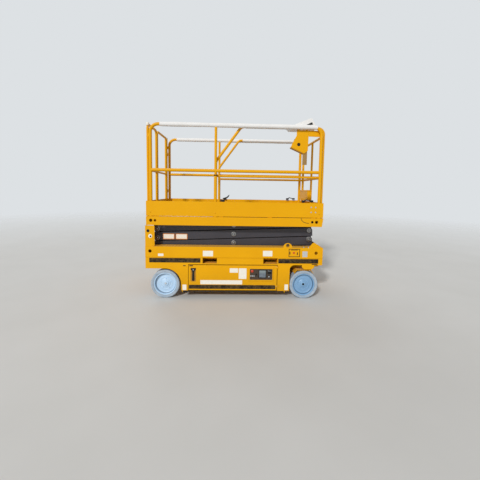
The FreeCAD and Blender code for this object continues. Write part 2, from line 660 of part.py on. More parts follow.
def tray(name):
    span = (d.tray_free_end, d.front_leg_rear - d.gap)
    depth = (-side_inner, -d.tray_inner)
    floor = box(name + "_floor", span, depth, (d.door_low + 6, d.door_low + 12))
    rear = box(name + "_rear_end", (span[0], span[0] + 6), depth, (d.door_low + 6, 230))
    fore = box(name + "_front_end", (span[1] - 6, span[1]), depth, (d.door_low + 6, 230))
    inner = box(name + "_inner_lip", span, (-d.tray_inner - 6, -d.tray_inner),
                (d.door_low + 6, 190))
    return fuse(name, [floor, rear, fore, inner])


def trays():
    right_door = node("door_right", door("door_right", True))
    left_source = door("door_left_source", False)
    node("door_left", mirrored("door_left", left_source))
    right_tray = node("tray_right", tray("tray_right"))
    node("tray_left", mirrored("tray_left", right_tray))
    floor = d.door_low + 12
    run = d.front_leg_rear - d.gap - d.tray_free_end
    motor_y = -(side_inner + d.tray_inner) / 2 - 22
    slots = [d.tray_free_end + run * share for share in (0.036, 0.343, 0.487, 0.523, 0.658)]
    panel = fuse("control_panel_solid", [
        box("panel_back", panel_span, (-side_inner - 3, -side_inner + 40),
            (d.door_low + 145, d.door_top - 46)),
        rod("panel_stop", "Y", 17, (-side_face + 1, -side_inner),
            (panel_span[0] + 32, d.door_low + 263)),
        box("panel_display", (panel_span[0] + 106, panel_span[0] + 196),
            (-side_face + 2, -side_inner), (d.door_low + 208, d.door_low + 278)),
        rod("panel_key", "Y", 13, (-side_face + 1, -side_inner),
            (panel_span[0] + 236, d.door_low + 188)),
        rod("panel_switch", "Y", 9, (-side_face + 1, -side_inner),
            (panel_span[0] + 146, d.door_low + 173)),
    ])
    node("control_panel", panel)
    node("hydraulic_unit", fuse("hydraulic_unit", [
        box("tank", (slots[0], slots[1]), (-side_inner + 30, -d.tray_inner - 40),
            (floor, d.door_top - 53)),
        box("pump_block", (slots[1], slots[3]), (-side_inner + 51, -d.tray_inner - 95),
            (floor, d.door_top - 123)),
        rod("motor", "X", 70, (slots[2], slots[4]), (motor_y, floor + 110)),
    ]))
    pitch = (run - 49) / 4
    lows = [d.tray_free_end + 20 + pitch * i for i in range(4)]
    packs = [box("battery_%d" % i, (low, low + pitch - 10), (d.tray_inner + 20, side_inner - 30),
                 (floor, d.door_top - 53)) for i, low in enumerate(lows)]
    item = doc.addObject("Part::Compound", "batteries")
    item.Links = packs
    node("batteries", item)


# Pothole guards: flaps under the legs that swing down as the platform rises
def guard(name):
    flap = guard_span
    pivot = (-d.guard_y, d.guard_z)
    bar = rod(name + "_bar", "X", 6, (flap[0] - 22, flap[1] + 22), pivot)
    plate = box(name + "_plate", flap, (-d.guard_y, -d.guard_y + d.guard_drop),
                (d.guard_z - 4, d.guard_z + 4))
    return fuse(name, [bar, plate])


# Scissor arms, drawn with the lower pin at the origin and the upper pin at +X * pin_span
def arm_blank(name, y_low, direction):
    """One arm: a box section, flatter than its pin line, with square ends round the two eyes."""
    y = (y_low, y_low + d.arm_width)
    half = d.arm_height / 2
    lean = Size("sizes.pin_span / 2 * tan(sizes.arm_tilt)",
                d.pin_span.value / 2 * math.tan(math.radians(d.arm_tilt.value)))
    reach = d.arm_eye_radius * direction
    chamfer = d.arm_chamfer * direction
    far = d.pin_span * direction + reach
    section = outline(name + "_section", [
        (-reach, lean - half + d.arm_chamfer),
        (-reach + chamfer, lean - half),
        (far, -lean - half),
        (far, -lean + half - d.arm_chamfer),
        (far - chamfer, -lean + half),
        (-reach, lean + half),
    ], y[0], y[1])
    eyes = [rod("%s_eye_%d" % (name, i), "Y", d.arm_eye_radius, y, (x, 0))
            for i, x in enumerate((0, d.pin_span * direction))]
    return fuse(name + "_blank", [section] + eyes)


def arm_bores(name, y_low, direction):
    y = (as_size(y_low) - 8, y_low + d.arm_width + 8)
    return [rod("%s_bore_%d" % (name, i), "Y", d.arm_pin_radius + d.fit, y, (x, 0))
            for i, x in enumerate((0, d.pin_span * direction / 2, d.pin_span * direction))]


def outer_arm_pair():
    y_low = -d.outer_arm_y - d.arm_width
    rings = [rod("outer_ring_%d" % i, "Y", d.boss_radius, (y_low - 4, y_low), (x, 0))
             for i, x in enumerate((0, d.pin_span / 2, d.pin_span))]
    arm = cut("outer_arm", fuse("outer_arm_solid", [arm_blank("outer", y_low, 1)] + rings),
              arm_bores("outer", y_low, 1))
    return both("outer_arm_pair", arm)


def inner_arm_frame(name, lug_x=None, through_pin=True):
    """Two inner arms joined by cross tubes; lug_x places the lugs of a lift cylinder pin, which
    is one bar or a stub in each lug."""
    y_low = -d.inner_arm_y - d.arm_width
    arm = cut(name + "_arm", arm_blank(name, y_low, -1), arm_bores(name, y_low, -1))
    lean = d.pin_span.value / 2 * math.tan(math.radians(d.arm_tilt.value))
    slope = 1 - 2 * d.cross_tube_inset / d.pin_span
    low_tube = (-d.cross_tube_inset, slope * lean)
    high_tube = (d.cross_tube_inset - d.pin_span, -slope * lean)
    lug_tube = None
    if lug_x is not None:
        lug_tube = low_tube if lug_x.value > -d.pin_span.value / 2 else high_tube
    pieces = [arm, mirrored(name + "_arm_left", arm)]
    for i, tube in enumerate((low_tube, high_tube)):
        spans = [(-d.inner_arm_y, d.inner_arm_y)]
        if tube is lug_tube and not through_pin:
            # the tube stops at the lugs, so that the cylinder's eye passes between them
            spans = [(-d.inner_arm_y, -d.eye_half - d.slide_gap),
                     (d.eye_half + d.slide_gap, d.inner_arm_y)]
        for j, span in enumerate(spans):
            pieces.append(rod("%s_tube_%d_%d" % (name, i, j), "Y", d.cross_tube_radius, span, tube))
    if lug_x is not None:
        tube_x, tube_z = lug_tube
        outer = d.eye_half + 26
        for i, side in enumerate((-1, 1)):
            low, high = (d.eye_half + d.slide_gap, d.eye_half + 18)
            if side < 0:
                low, high = (-high, -low)
            lug = outline("%s_lug_%d" % (name, i), lug_outline(tube_x, tube_z, lug_x), low, high)
            pieces.append(lug)
            if not through_pin:
                stub = (low, outer) if side > 0 else (-outer, high)
                pieces.append(rod("%s_stub_%d" % (name, i), "Y", d.cylinder_pin_radius, stub,
                                  (lug_x, 0)))
        if through_pin:
            pieces.append(rod(name + "_lug_pin", "Y", d.cylinder_pin_radius, (-outer, outer),
                              (lug_x, 0)))
    return fuse(name, pieces)


def lug_outline(tube_x, tube_z, lug_x):
    """A plate from the cross tube to the pin, rounded round the pin."""
    reach = 32
    side = 1 if lug_x.value > tube_x.value else -1
    return [
        (tube_x, tube_z - 28), (lug_x, -reach), (lug_x, reach, lug_x + side * reach, 0),
        (tube_x, tube_z + 28)]


def scissor_place(item, x, z, angle):
    """Turn an arm about its lower pin: a positive angle lifts +X, a negative one lifts -X."""
    return place(item, x, 0, z, (0, -1, 0), angle)


def copy_of(name, source):
    item = doc.addObject("Part::Compound", name)
    item.Links = [source]
    return item


def scissors():
    outer = outer_arm_pair()
    plain = inner_arm_frame("inner_plain")
    pins = both("pin_set", pin_set())
    frames = {
        1: inner_arm_frame("inner_first", d.lug_inset - d.pin_span),
        3: inner_arm_frame("inner_third", -d.lug_inset, through_pin=False),
    }
    for level in range(1, 5):
        low = d.pivot_low + d.level_rise * (level - 1)
        node("outer_arms_%d" % level,
             scissor_place(copy_of("outer_arms_%d" % level, outer), d.pivot_x, low, stow_angle))
        node("scissor_pins_%d" % level,
             scissor_place(copy_of("scissor_pins_%d" % level, pins), d.pivot_x, low, stow_angle))
        node("inner_arms_%d" % level,
             scissor_place(copy_of("inner_arms_%d" % level, frames.get(level, plain)), slide_x, low,
                           -stow_angle))


def pin_set():
    """The hollow pins that an outer arm carries: lower, middle and upper."""
    y = (-d.outer_arm_y - d.arm_width - 2, -d.inner_arm_y + 2)
    pins = []
    for i, x in enumerate((0, d.pin_span / 2, d.pin_span)):
        solid = rod("pin_solid_%d" % i, "Y", d.arm_pin_radius, y, (x, 0))
        hollow = rod("pin_hollow_%d" % i, "Y", d.arm_pin_bore, (y[0] - 1, y[1] + 1), (x, 0))
        pins.append(cut("pin_%d" % i, solid, [hollow]))
    item = doc.addObject("Part::Compound", "pin_side")
    item.Links = pins
    return item


# Slide blocks: the lower pair carries its pin, the upper pair runs on the top arms' pins
def slide_blocks():
    y = (-d.outer_arm_y - d.arm_width + 2, -d.outer_arm_y - 2)
    low_z = (d.pivot_low - d.block_rise, d.pivot_low + d.block_rise)
    lower = fuse("lower_block", [
        box("lower_block_body", (slide_x - d.block_half, slide_x + d.block_half), y, low_z),
        rod("lower_block_pin", "Y", d.arm_pin_radius, (y[0] - 2, -d.inner_arm_y + 2),
            (slide_x, d.pivot_low)),
    ])
    node("lower_slide_blocks", both("lower_slide_blocks", lower))
    y = (-d.inner_arm_y - d.arm_width + 2, -d.inner_arm_y - 2)
    high_z = (pivot_top - d.block_rise, pivot_top + d.block_rise)
    upper = cut("upper_block", box("upper_block_body", (slide_x - d.block_half,
                                                        slide_x + d.block_half), y, high_z),
                [rod("upper_block_bore", "Y", d.arm_pin_radius + d.fit, (y[0] - 1, y[1] + 1),
                     (slide_x, pivot_top))])
    node("upper_slide_blocks", both("upper_slide_blocks", upper))


# Lift cylinder: from the first inner arms' lugs up to the third inner arms' lugs
def lift_cylinder():
    angle = stow_angle.value
    turn = math.radians(angle)
    low_x = slide_x.value - (d.pin_span.value - d.lug_inset.value) * math.cos(turn)
    low_z = d.pivot_low.value + (d.pin_span.value - d.lug_inset.value) * math.sin(turn)
    high_x = slide_x.value - d.lug_inset.value * math.cos(turn)
    high_z = d.pivot_low.value + 2 * d.level_rise.value + d.lug_inset.value * math.sin(turn)
    reach = math.hypot(high_x - low_x, high_z - low_z)
    slope = math.degrees(math.atan2(high_z - low_z, high_x - low_x))
    barrel_end = reach - 130
    bore = d.cylinder_pin_radius + d.fit
    barrel_solid = fuse("barrel_solid", [
        rod("barrel_eye", "Y", 36, (-d.eye_half, d.eye_half), (0, 0)),
        box("barrel_neck", (0, 95), (-34, 34), (-30, 30)),
        rod("barrel_tube", "X", d.barrel_radius, (88, barrel_end), (0, 0)),
        rod("barrel_gland", "X", d.barrel_radius + 6, (barrel_end - 60, barrel_end), (0, 0)),
    ])
    barrel = cut("barrel", barrel_solid, [
        rod("barrel_bore", "X", d.rod_radius + d.fit, (300, barrel_end + 1), (0, 0)),
        rod("barrel_eye_bore", "Y", bore, (-d.eye_half - 1, d.eye_half + 1), (0, 0)),
    ])
    piston = cut("piston_rod", fuse("piston_rod_solid", [
        rod("piston_bar", "X", d.rod_radius, (330, reach - 20), (0, 0)),
        rod("rod_eye", "Y", 36, (-d.eye_half, d.eye_half), (reach, 0)),
    ]), [rod("rod_eye_bore", "Y", d.cylinder_pin_radius + 1, (-d.eye_half - 1, d.eye_half + 1),
             (reach, 0))])
    for name, item in (("cylinder_barrel", barrel), ("cylinder_rod", piston)):
        node(name, place(item, low_x, 0, low_z, (0, -1, 0), slope))


# Platform: side beams, floor, pivot lugs, slide rails and toe boards
def platform():
    deck_top = d.deck_low + d.deck_thick
    raked = d.deck_front - d.deck_rake
    web = (-d.half_width, -d.half_width + d.plate)
    flange = (-d.half_width, -d.half_width + 45)
    beam = fuse("deck_beam_solid", [
        outline("deck_beam_web", [
            (d.deck_rear, d.deck_beam_low), (raked, d.deck_beam_low), (d.deck_front, deck_top),
            (d.deck_rear, deck_top)], web[0], web[1]),
        box("deck_beam_flange", (d.deck_rear, raked), flange,
            (d.deck_beam_low, d.deck_beam_low + d.plate)),
    ])
    holes = [rod("deck_hole_%d" % i, "Y", radius, (-d.half_width - 1, -d.half_width + d.plate + 1),
                 (x, d.deck_beam_low + 62))
             for i, (x, radius) in enumerate(((-d.half_length + 76, 21), (-d.half_length + 132, 17),
                                              (d.half_length - 158, 17), (d.half_length - 100, 21)))]
    lug_y = (-d.outer_arm_y - d.arm_width + 2, -d.outer_arm_y - 2)
    rail_y = (-d.inner_arm_y - d.arm_width - 5, -d.inner_arm_y + 5)
    half = fuse("deck_half", [
        cut("deck_beam", beam, holes),
        box("deck_floor", (d.deck_rear, d.deck_front), (web[1], 0), (d.deck_low, deck_top)),
        box("deck_rear_end", (d.deck_rear, d.deck_rear + d.plate), (web[1], 0),
            (d.deck_beam_low, d.deck_low)),
        box("deck_front_end", (raked - d.plate, raked), (web[1], 0),
            (d.deck_beam_low, d.deck_low)),
        box("deck_slide", (d.track_end, d.half_length - 60), rail_y,
            (pivot_top + d.block_rise + d.slide_gap, d.deck_low)),
        rod("deck_lug", "Y", d.boss_radius, lug_y, (d.pivot_x, pivot_top)),
        box("deck_lug_web", (d.pivot_x - d.boss_radius, d.pivot_x + d.boss_radius), lug_y,
            (pivot_top, d.deck_low)),
        rod("deck_lug_pin", "Y", d.arm_pin_radius, (lug_y[0] - 2, -d.inner_arm_y + 2),
            (d.pivot_x, pivot_top)),
    ])
    node("platform_deck", fuse("platform_deck", [half, mirrored("deck_other", half)]))
    toe = box("toe_side", (d.deck_rear, d.deck_front - 3), (-d.toe_face, -d.toe_face + 4),
              (d.toe_low, d.toe_top))
    # feet behind the boards carry them a little above the deck beams
    feet = [box("toe_foot_%d" % i, (x, as_size(x) + 60), (-d.toe_face + 4, -d.toe_face + 8),
                (deck_top, d.toe_low + 40))
            for i, x in enumerate((d.rear_post + 45, d.mid_post + 45, d.half_length * 0.36,
                                   d.front_post - 105))]
    node("toe_boards", both("toe_boards", fuse("toe_board", [toe] + feet)))


# Guard rails: a bent hoop each side with a middle post and a mid rail
def main_rails():
    deck_top = d.deck_low + d.deck_thick
    y = -d.rail_y
    post_radius = d.rail_radius - 4
    hoop = bent_tube("side_hoop", [
        (d.rear_post, y, deck_top), (d.rear_post, y, d.top_rail), (d.front_post, y, d.top_rail),
        (d.front_post, y, deck_top)], d.rail_radius, d.rail_bend)
    pieces = [
        hoop,
        rod("mid_rail_bar", "X", d.rail_radius, (d.rear_post, d.front_post), (y, d.mid_rail)),
        rod("mid_post_bar", "Z", post_radius, (deck_top, d.top_rail), (d.mid_post, y)),
        rod("mid_post_socket", "Z", d.rail_radius, (deck_top, d.mid_rail - 60), (d.mid_post, y)),
    ]
    side = fuse("rail_side", pieces)
    # fixed rear rail beside the gate
    rear_x = d.gate_x
    rear = fuse("rear_rail", [
        bent_tube("rear_hoop", [
            (rear_x, -d.rail_y + 14, deck_top), (rear_x, -d.rail_y + 14, d.top_rail),
            (rear_x, d.gate_split, d.top_rail), (rear_x, d.gate_split, deck_top)],
            d.gate_rail_radius, 60),
        rod("rear_mid", "Y", d.gate_rail_radius, (-d.rail_y + 14, d.gate_split),
            (rear_x, d.mid_rail)),
        rod("gate_hinge_post", "Z", d.gate_rail_radius, (deck_top, d.top_rail),
            (rear_x, d.gate_hinge_y)),
        box("rear_toe", (rear_x - 18, rear_x - 14), (-d.rail_y + 14, d.gate_split),
            (deck_top + 6, d.toe_top)),
    ])
    strap_heights = (deck_top + 153, d.top_rail - 160)
    straps = [box("corner_strap_%d" % i, (rear_x - 4, d.rear_post), (d.gate_hinge_y, d.rail_y),
                  (z, z + 40)) for i, z in enumerate(strap_heights)]
    right_straps = [box("rear_strap_%d" % i, (rear_x - 4, d.rear_post),
                        (-d.rail_y, -d.rail_y + 18), (z, z + 40))
                    for i, z in enumerate(strap_heights)]
    node("main_rails", fuse("main_rails", [
        side, mirrored("rail_side_left", side), rear] + straps + right_straps))
    sleeve = rod("sleeve", "X", d.sleeve_radius,
                 (d.rear_post + d.rail_bend + 23, d.front_post - d.rail_bend - 3), (y, d.top_rail))
    node("rail_sleeves", both("rail_sleeves", cut("sleeve_tube", sleeve, [
        rod("sleeve_bore", "X", d.rail_radius, (d.rear_post, d.front_post), (y, d.top_rail)),
        rod("sleeve_notch", "Z", post_radius + d.slide_gap, (d.mid_rail, d.top_rail),
            (d.mid_post, y)),
    ])))


# Entry gate: a hoop on two collars round its post
def gate():
    post_y = d.gate_hinge_y
    deck_top = d.deck_low + d.deck_thick
    low = deck_top + 30
    free = d.gate_split + 2 * d.gate_rail_radius + 10
    near = post_y - 60
    hoop = bent_tube("gate_hoop", [
        (d.gate_x, near, d.top_rail), (d.gate_x, free, d.top_rail), (d.gate_x, free, low),
        (d.gate_x, near, low)], d.gate_rail_radius, 60)
    pieces = [
        hoop,
        rod("gate_back", "Z", d.gate_rail_radius, (low, d.top_rail), (d.gate_x, near)),
        rod("gate_mid", "Y", d.gate_rail_radius - 2, (free, near), (d.gate_x, d.mid_rail)),
    ]
    inside = free + d.gate_rail_radius
    bend = 60
    node("gate_toe", slope_plate("gate_toe", (d.gate_x - 2, d.gate_x + 2), [
        (inside, low + bend), (free + bend, low + d.gate_rail_radius),
        (near - d.gate_rail_radius, low + d.gate_rail_radius),
        (near - d.gate_rail_radius, d.toe_top), (inside, d.toe_top)]))
    collars = []
    for i, z in enumerate((deck_top + 303, d.top_rail - 280)):
        collars.append(rod("gate_collar_%d" % i, "Z", d.gate_rail_radius + 8, (z, z + 50),
                           (d.gate_x, post_y)))
        collars.append(box("gate_strap_%d" % i, (d.gate_x - 8, d.gate_x + 8), (near, post_y),
                           (z, z + 50)))
    solid = fuse("gate_solid", pieces + collars)
    bore = rod("gate_bore", "Z", d.gate_rail_radius + d.fit,
               (deck_top + 203, d.top_rail - 180), (d.gate_x, post_y))
    return node("gate", cut("gate", solid, [bore]))


# Extension: a second floor and its own rails, rolling out over the front
def extension():
    deck_top = d.deck_low + d.deck_thick
    floor_top = d.extension_low + 8
    y = -d.inner_rail_y
    skin = 4
    skirt_x = d.inner_front + d.inner_rail_radius + d.slide_gap
    skirt_y = y - d.inner_rail_radius - d.slide_gap
    half = fuse("extension_half", [
        box("extension_floor", (d.inner_rear - 30, skirt_x), (skirt_y, 0),
            (d.extension_low, floor_top)),
        box("extension_side", (d.inner_rear - 30, skirt_x), (skirt_y - skin, skirt_y),
            (d.extension_low, d.toe_top - 90)),
        box("extension_toe", (skirt_x, skirt_x + skin), (skirt_y - skin, 0),
            (d.extension_low, d.toe_top)),
        box("extension_runner", (d.inner_rear, d.half_length - 120), (y + 60, y + 100),
            (deck_top + d.slide_gap, d.extension_low)),
    ])
    node("extension_deck", fuse("extension_deck", [half, mirrored("extension_other", half)]))
    hoop = bent_tube("extension_hoop", [
        (d.inner_rear, y, floor_top), (d.inner_rear, y, d.inner_knee),
        (d.inner_shoulder, y, d.inner_top_rail), (d.inner_front, y, d.inner_top_rail),
        (d.inner_front, y, floor_top)], d.inner_rail_radius, d.inner_bend)
    side = fuse("extension_side_rail", [
        hoop,
        rod("extension_mid", "X", d.inner_rail_radius - 2, (d.inner_rear, d.inner_front),
            (y, d.inner_mid_rail)),
    ])
    top = rod("extension_front_top", "Y", d.inner_rail_radius - 1, (y, d.inner_rail_y),
              (d.inner_front, d.inner_top_rail - d.inner_bend - 20))
    middle = rod("extension_front_mid", "Y", d.inner_rail_radius - 1, (y, d.inner_rail_y),
                 (d.inner_front, d.inner_mid_rail))
    post = rod("extension_front_post", "Z", d.inner_post_radius,
               (floor_top, d.inner_top_rail - d.inner_bend - 20), (d.inner_front, 0))
    node("extension_rails", fuse("extension_rails", [
        side, mirrored("extension_side_rail_left", side), top, middle, post]))


# Control station: a folded yellow guard under the extension's top rail, and the control box
def control_station():
    rail_face = -d.inner_rail_y - d.inner_rail_radius - d.slide_gap
    y = (rail_face - 6, rail_face)
    x = d.inner_front
    z = d.inner_top_rail
    face = outline("station_face", [
        (x - 363, z - 55), (x - 205, z - 55), (x - 210, z - 298), (x - 258, z - 330),
        (x - 435, z - 252), (x - 416, z - 203), (x - 363, z - 103)], y[0], y[1])
    hole = rod("station_hole", "Y", 22, (y[0] - 20, y[1] + 20), (x - 332, z - 217))
    shelf = box("station_shelf", (x - 362, x - 210), (y[1], y[1] + 150), (z - 130, z - 124))
    back = box("station_back", (x - 217, x - 211), (y[1], y[1] + 150), (z - 285, z - 124))
    hangers = [box("station_hanger_%d" % i, (low, low + 25), (y[1], -d.inner_rail_y + 9),
                   (z - 100, z - d.inner_rail_radius)) for i, low in enumerate((x - 350, x - 240))]
    node("control_box_guard", fuse("control_box_guard", [
        cut("station_plate", face, [hole]), shelf, back] + hangers))
    box_y = -d.inner_rail_y + d.inner_rail_radius + d.slide_gap
    wedge = outline("control_wedge", [
        (x - 470, z + 14), (x - 174, z + 134), (x - 156, z + 136), (x - 104, z + 34),
        (x - 120, z - 18), (x - 440, z - 18)],
        box_y, box_y + 148)
    clamp = box("control_clamp", (x - 400, x - 190), (-d.inner_rail_y - 8, box_y + 12),
                (z + d.inner_rail_radius, z + 42))
    node("control_box", fuse("control_box", [wedge, clamp]))
    back_x = d.inner_front - d.inner_post_radius
    node("document_box", box("document_box", (back_x - 42, back_x), (-14, d.inner_rail_y - 60),
                             (d.extension_low + 205, d.extension_low + 365)))


chassis()
ladder()
rear_axle()
knuckle_right = node("knuckle_right", knuckle("knuckle_right"))
node("knuckle_left", mirrored("knuckle_left", knuckle_right))
tie_rod()
for end, wheel_x in (("front", front_axle), ("rear", d.rear_axle)):
    wheel(end + "_right", wheel_x, -1)
    wheel(end + "_left", wheel_x, 1)
trays()
guard_right = node("guard_right", guard("guard_right"))
node("guard_left", mirrored("guard_left", guard_right))
scissors()
slide_blocks()
lift_cylinder()
platform()
main_rails()
gate()
extension()
control_station()
doc.recompute()

# Nothing is written before every object has built and every piece is sound
for item in doc.Objects:
    if "Invalid" in item.State or "Error" in item.State:
        raise RuntimeError("%s did not build: %s" % (item.Name, item.State))
for item in nodes:
    if item.Shape.isNull() or not item.Shape.isValid():
        raise RuntimeError("%s is not a sound solid" % item.Label)
for item in nodes:
    item.Shape.exportStep("parts/%s.step" % item.Label)
    extent = item.Shape.BoundBox
    print("%-20s solids %d  x %.0f..%.0f  y %.0f..%.0f  z %.0f..%.0f" % (
        item.Label, len(item.Shape.Solids), extent.XMin, extent.XMax, extent.YMin, extent.YMax,
        extent.ZMin, extent.ZMax))
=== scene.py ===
# An electric slab scissor lift, stowed, dressed over its steel frame, in metres; its steered end
# is at +X. The sections go round the machine in the order it is put together.
import math
import random
import bmesh
import bpy
from mathutils import Euler, Matrix, Vector


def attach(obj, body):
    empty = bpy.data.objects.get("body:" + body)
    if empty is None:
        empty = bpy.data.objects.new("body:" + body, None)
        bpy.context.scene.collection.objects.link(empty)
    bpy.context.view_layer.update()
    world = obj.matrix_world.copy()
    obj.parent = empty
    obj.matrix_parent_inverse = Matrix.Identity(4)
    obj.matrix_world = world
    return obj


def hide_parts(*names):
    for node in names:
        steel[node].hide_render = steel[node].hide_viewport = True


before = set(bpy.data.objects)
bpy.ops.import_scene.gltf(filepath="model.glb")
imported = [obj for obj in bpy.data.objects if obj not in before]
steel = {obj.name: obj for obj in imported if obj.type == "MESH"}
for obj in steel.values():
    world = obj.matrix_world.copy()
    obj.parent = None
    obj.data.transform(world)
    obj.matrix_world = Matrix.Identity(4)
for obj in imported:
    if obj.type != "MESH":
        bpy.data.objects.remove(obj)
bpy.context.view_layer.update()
scene = bpy.context.scene

# places that several sections share
sides = ((-1, "right"), (1, "left"))
band_face = 0.585       # outer faces of the side bands, and of the plates and doors below them
plate_face = 0.579
tyre_radius = 0.1905
front_axle = 0.937
rear_axle = -0.923
rail_y = 0.554          # middle of the main rails' tubes, and height of the top ones
rail_z = 2.280
inner_rail_y = 0.500    # middle of the extension's rails
deck_top = 1.0972
inner_deck_top = 1.1135


# View and studio
# The view stands a little left of the middle of the machine's right side, at chest height, and
# looks slightly down. The floor is plain and pale, and fades into a pale surround.
def add(tree, kind, settings=(), feeds=()):
    """Adds one node: settings are its own properties, feeds its sockets' values or sources."""
    item = tree.nodes.new(kind)
    for name, value in dict(settings).items():
        setattr(item, name, value)
    for socket, value in dict(feeds).items():
        if isinstance(value, bpy.types.NodeSocket):
            tree.links.new(value, item.inputs[socket])
        else:
            item.inputs[socket].default_value = value
    return item


def linear(code):
    """An sRGB hex colour as the linear colour that a shader takes."""
    shares = [int(code[i:i + 2], 16) / 255 for i in (1, 3, 5)]
    shares = [c / 12.92 if c <= 0.04045 else ((c + 0.055) / 1.055) ** 2.4 for c in shares]
    return (*shares, 1.0)


def maths(tree, operation, first, second=0.0):
    return add(tree, "ShaderNodeMath", {"operation": operation}, {0: first, 1: second}).outputs[0]


def noise(tree, spot, span, detail, roughness=0.5):
    """Noise whose clouds are span metres across."""
    return add(tree, "ShaderNodeTexNoise",
               feeds={"Vector": spot, "Scale": 1 / span, "Detail": detail,
                      "Roughness": roughness}).outputs[0]


def grains(tree, spot, span):
    """Cells that lie span metres apart."""
    return add(tree, "ShaderNodeTexVoronoi",
               feeds={"Vector": spot, "Scale": 1 / span}).outputs["Distance"]


def ramp(tree, value, low=0.0, high=1.0, first=0.0, last=1.0):
    """Spreads a value between low and high from first to last."""
    return add(tree, "ShaderNodeMapRange",
               feeds={0: value, 1: low, 2: high, 3: first, 4: last}).outputs[0]


def mix(tree, share, first, second):
    """Goes from the first colour to the second; each is a hex code or a socket."""
    ends = [linear(end) if isinstance(end, str) else end for end in (first, second)]
    return add(tree, "ShaderNodeMix", {"data_type": "RGBA"},
               {0: share, 6: ends[0], 7: ends[1]}).outputs[2]


def part(tree, vector, letter):
    return add(tree, "ShaderNodeSeparateXYZ", feeds={0: vector}).outputs[letter]


def upward(tree):
    """How far a face looks up: 1 on a floor, 0 on a wall."""
    return part(tree, add(tree, "ShaderNodeNewGeometry").outputs["True Normal"], "Z")


def length(tree, vector):
    return add(tree, "ShaderNodeVectorMath", {"operation": "LENGTH"}, {0: vector}).outputs["Value"]


def stretched(tree, spot, scale):
    return add(tree, "ShaderNodeMapping", feeds={0: spot, "Scale": scale}).outputs[0]


def new_finish(name, sockets):
    """A named finish. Values that are even all over sit on the shader's own sockets."""
    finish = bpy.data.materials.new(name)
    finish.use_nodes = True
    tree = finish.node_tree
    shader = tree.nodes["Principled BSDF"]
    for socket, value in sockets.items():
        shader.inputs[socket].default_value = value
    return finish, tree, shader, add(tree, "ShaderNodeTexCoord").outputs["Object"]


def dress(tree, shader, colour, gloss=None):
    """Links a finish's colour, and its roughness where that varies."""
    tree.links.new(colour, shader.inputs["Base Color"])
    if gloss is not None:
        tree.links.new(gloss, shader.inputs["Roughness"])


def relieve(tree, shader, height, strength, distance, normal=None):
    """Raises a finish by a pattern of heights, distance metres high."""
    feeds = {"Strength": strength, "Distance": distance, "Height": height}
    if normal is not None:
        feeds["Normal"] = normal
    tree.links.new(add(tree, "ShaderNodeBump", feeds=feeds).outputs[0], shader.inputs["Normal"])


def mottled(name, sockets, span, detail, roughness, first, second, gloss=None):
    """A finish in two tones, in clouds span metres across; gloss is its (first, last) roughness."""
    finish, tree, shader, spot = new_finish(name, sockets)
    drift = noise(tree, spot, span, detail, roughness)
    dress(tree, shader, mix(tree, drift, first, second),
          ramp(tree, drift, first=gloss[0], last=gloss[1]) if gloss else None)
    return finish


eye = (-0.0555, -4.219, 1.445)
tilt_down, yaw, roll = (math.radians(turn) for turn in (4.77, -1.75, 0.92))
view = bpy.data.cameras.new("view")
view.sensor_width = 36
view.lens = 20.865
view.shift_x = 0.0007
view.shift_y = -0.0542
view.clip_start = 0.05
stand = bpy.data.objects.new("view", view)
stand.location = eye
level = Euler((math.radians(90) - tilt_down, 0, yaw)).to_matrix()
stand.rotation_euler = (level @ Matrix.Rotation(roll, 3, "Z")).to_euler()
scene.collection.objects.link(stand)
scene.camera = stand
scene.view_settings.view_transform = "Standard"

for name, energy, spread, turn in (("high_front_light", 2.2, 6, (59, 0, -24)),
                                   ("low_back_light", 0.6, 40, (-58, 0, 24))):
    lamp = bpy.data.lights.new(name, "SUN")
    lamp.energy = energy
    lamp.angle = math.radians(spread)
    holder = bpy.data.objects.new(name, lamp)
    holder.rotation_euler = [math.radians(angle) for angle in turn]
    scene.collection.objects.link(holder)

# the surround is bright where it is seen, mirrored or looked through, and lights the machine softly
surround = bpy.data.worlds.new("pale_surround")
surround.use_nodes = True
sky = surround.node_tree
sky.nodes.clear()
paths = add(sky, "ShaderNodeLightPath").outputs
seen = maths(sky, "MAXIMUM", paths["Is Camera Ray"], paths["Is Glossy Ray"])
seen = maths(sky, "MAXIMUM", seen, paths["Is Transmission Ray"])
soft = add(sky, "ShaderNodeBackground", feeds={"Color": linear("#f4f6f8"), "Strength": 0.42})
bright = add(sky, "ShaderNodeBackground", feeds={"Color": linear("#dde1e4"), "Strength": 1.0})
sky_mix = add(sky, "ShaderNodeMixShader", feeds={0: seen, 1: soft.outputs[0], 2: bright.outputs[0]})
add(sky, "ShaderNodeOutputWorld", feeds={0: sky_mix.outputs[0]})
scene.world = surround

# sealed concrete, trowelled: grey in faint clouds of 0.7 m, fading to nothing far from the machine
concrete, tree, shader, spot = new_finish("sealed_concrete", {"Roughness": 0.85})
dress(tree, shader, mix(tree, noise(tree, spot, 1 / 1.4, 5.0), "#cdccc8", "#d7d6d3"))
fade = ramp(tree, length(tree, spot), 5.0, 16.0)
clear = add(tree, "ShaderNodeBsdfTransparent")
blend = add(tree, "ShaderNodeMixShader", feeds={0: fade, 1: shader.outputs[0], 2: clear.outputs[0]})
tree.links.new(blend.outputs[0], tree.nodes["Material Output"].inputs[0])
floor_mesh = bpy.data.meshes.new("floor")
floor_rings = (4.0, 9.0, 18.0)
around = 48
corners = [(r * math.cos(i * math.tau / around), r * math.sin(i * math.tau / around), 0.0)
           for r in floor_rings for i in range(around)]
faces = [tuple(range(around))]
for first in range(0, around * (len(floor_rings) - 1), around):
    faces += [(first + i, first + (i + 1) % around, first + around + (i + 1) % around,
               first + around + i) for i in range(around)]
floor_mesh.from_pydata(corners, [], faces)
floor_mesh.materials.append(concrete)
floor = bpy.data.objects.new("floor", floor_mesh)
scene.collection.objects.link(floor)


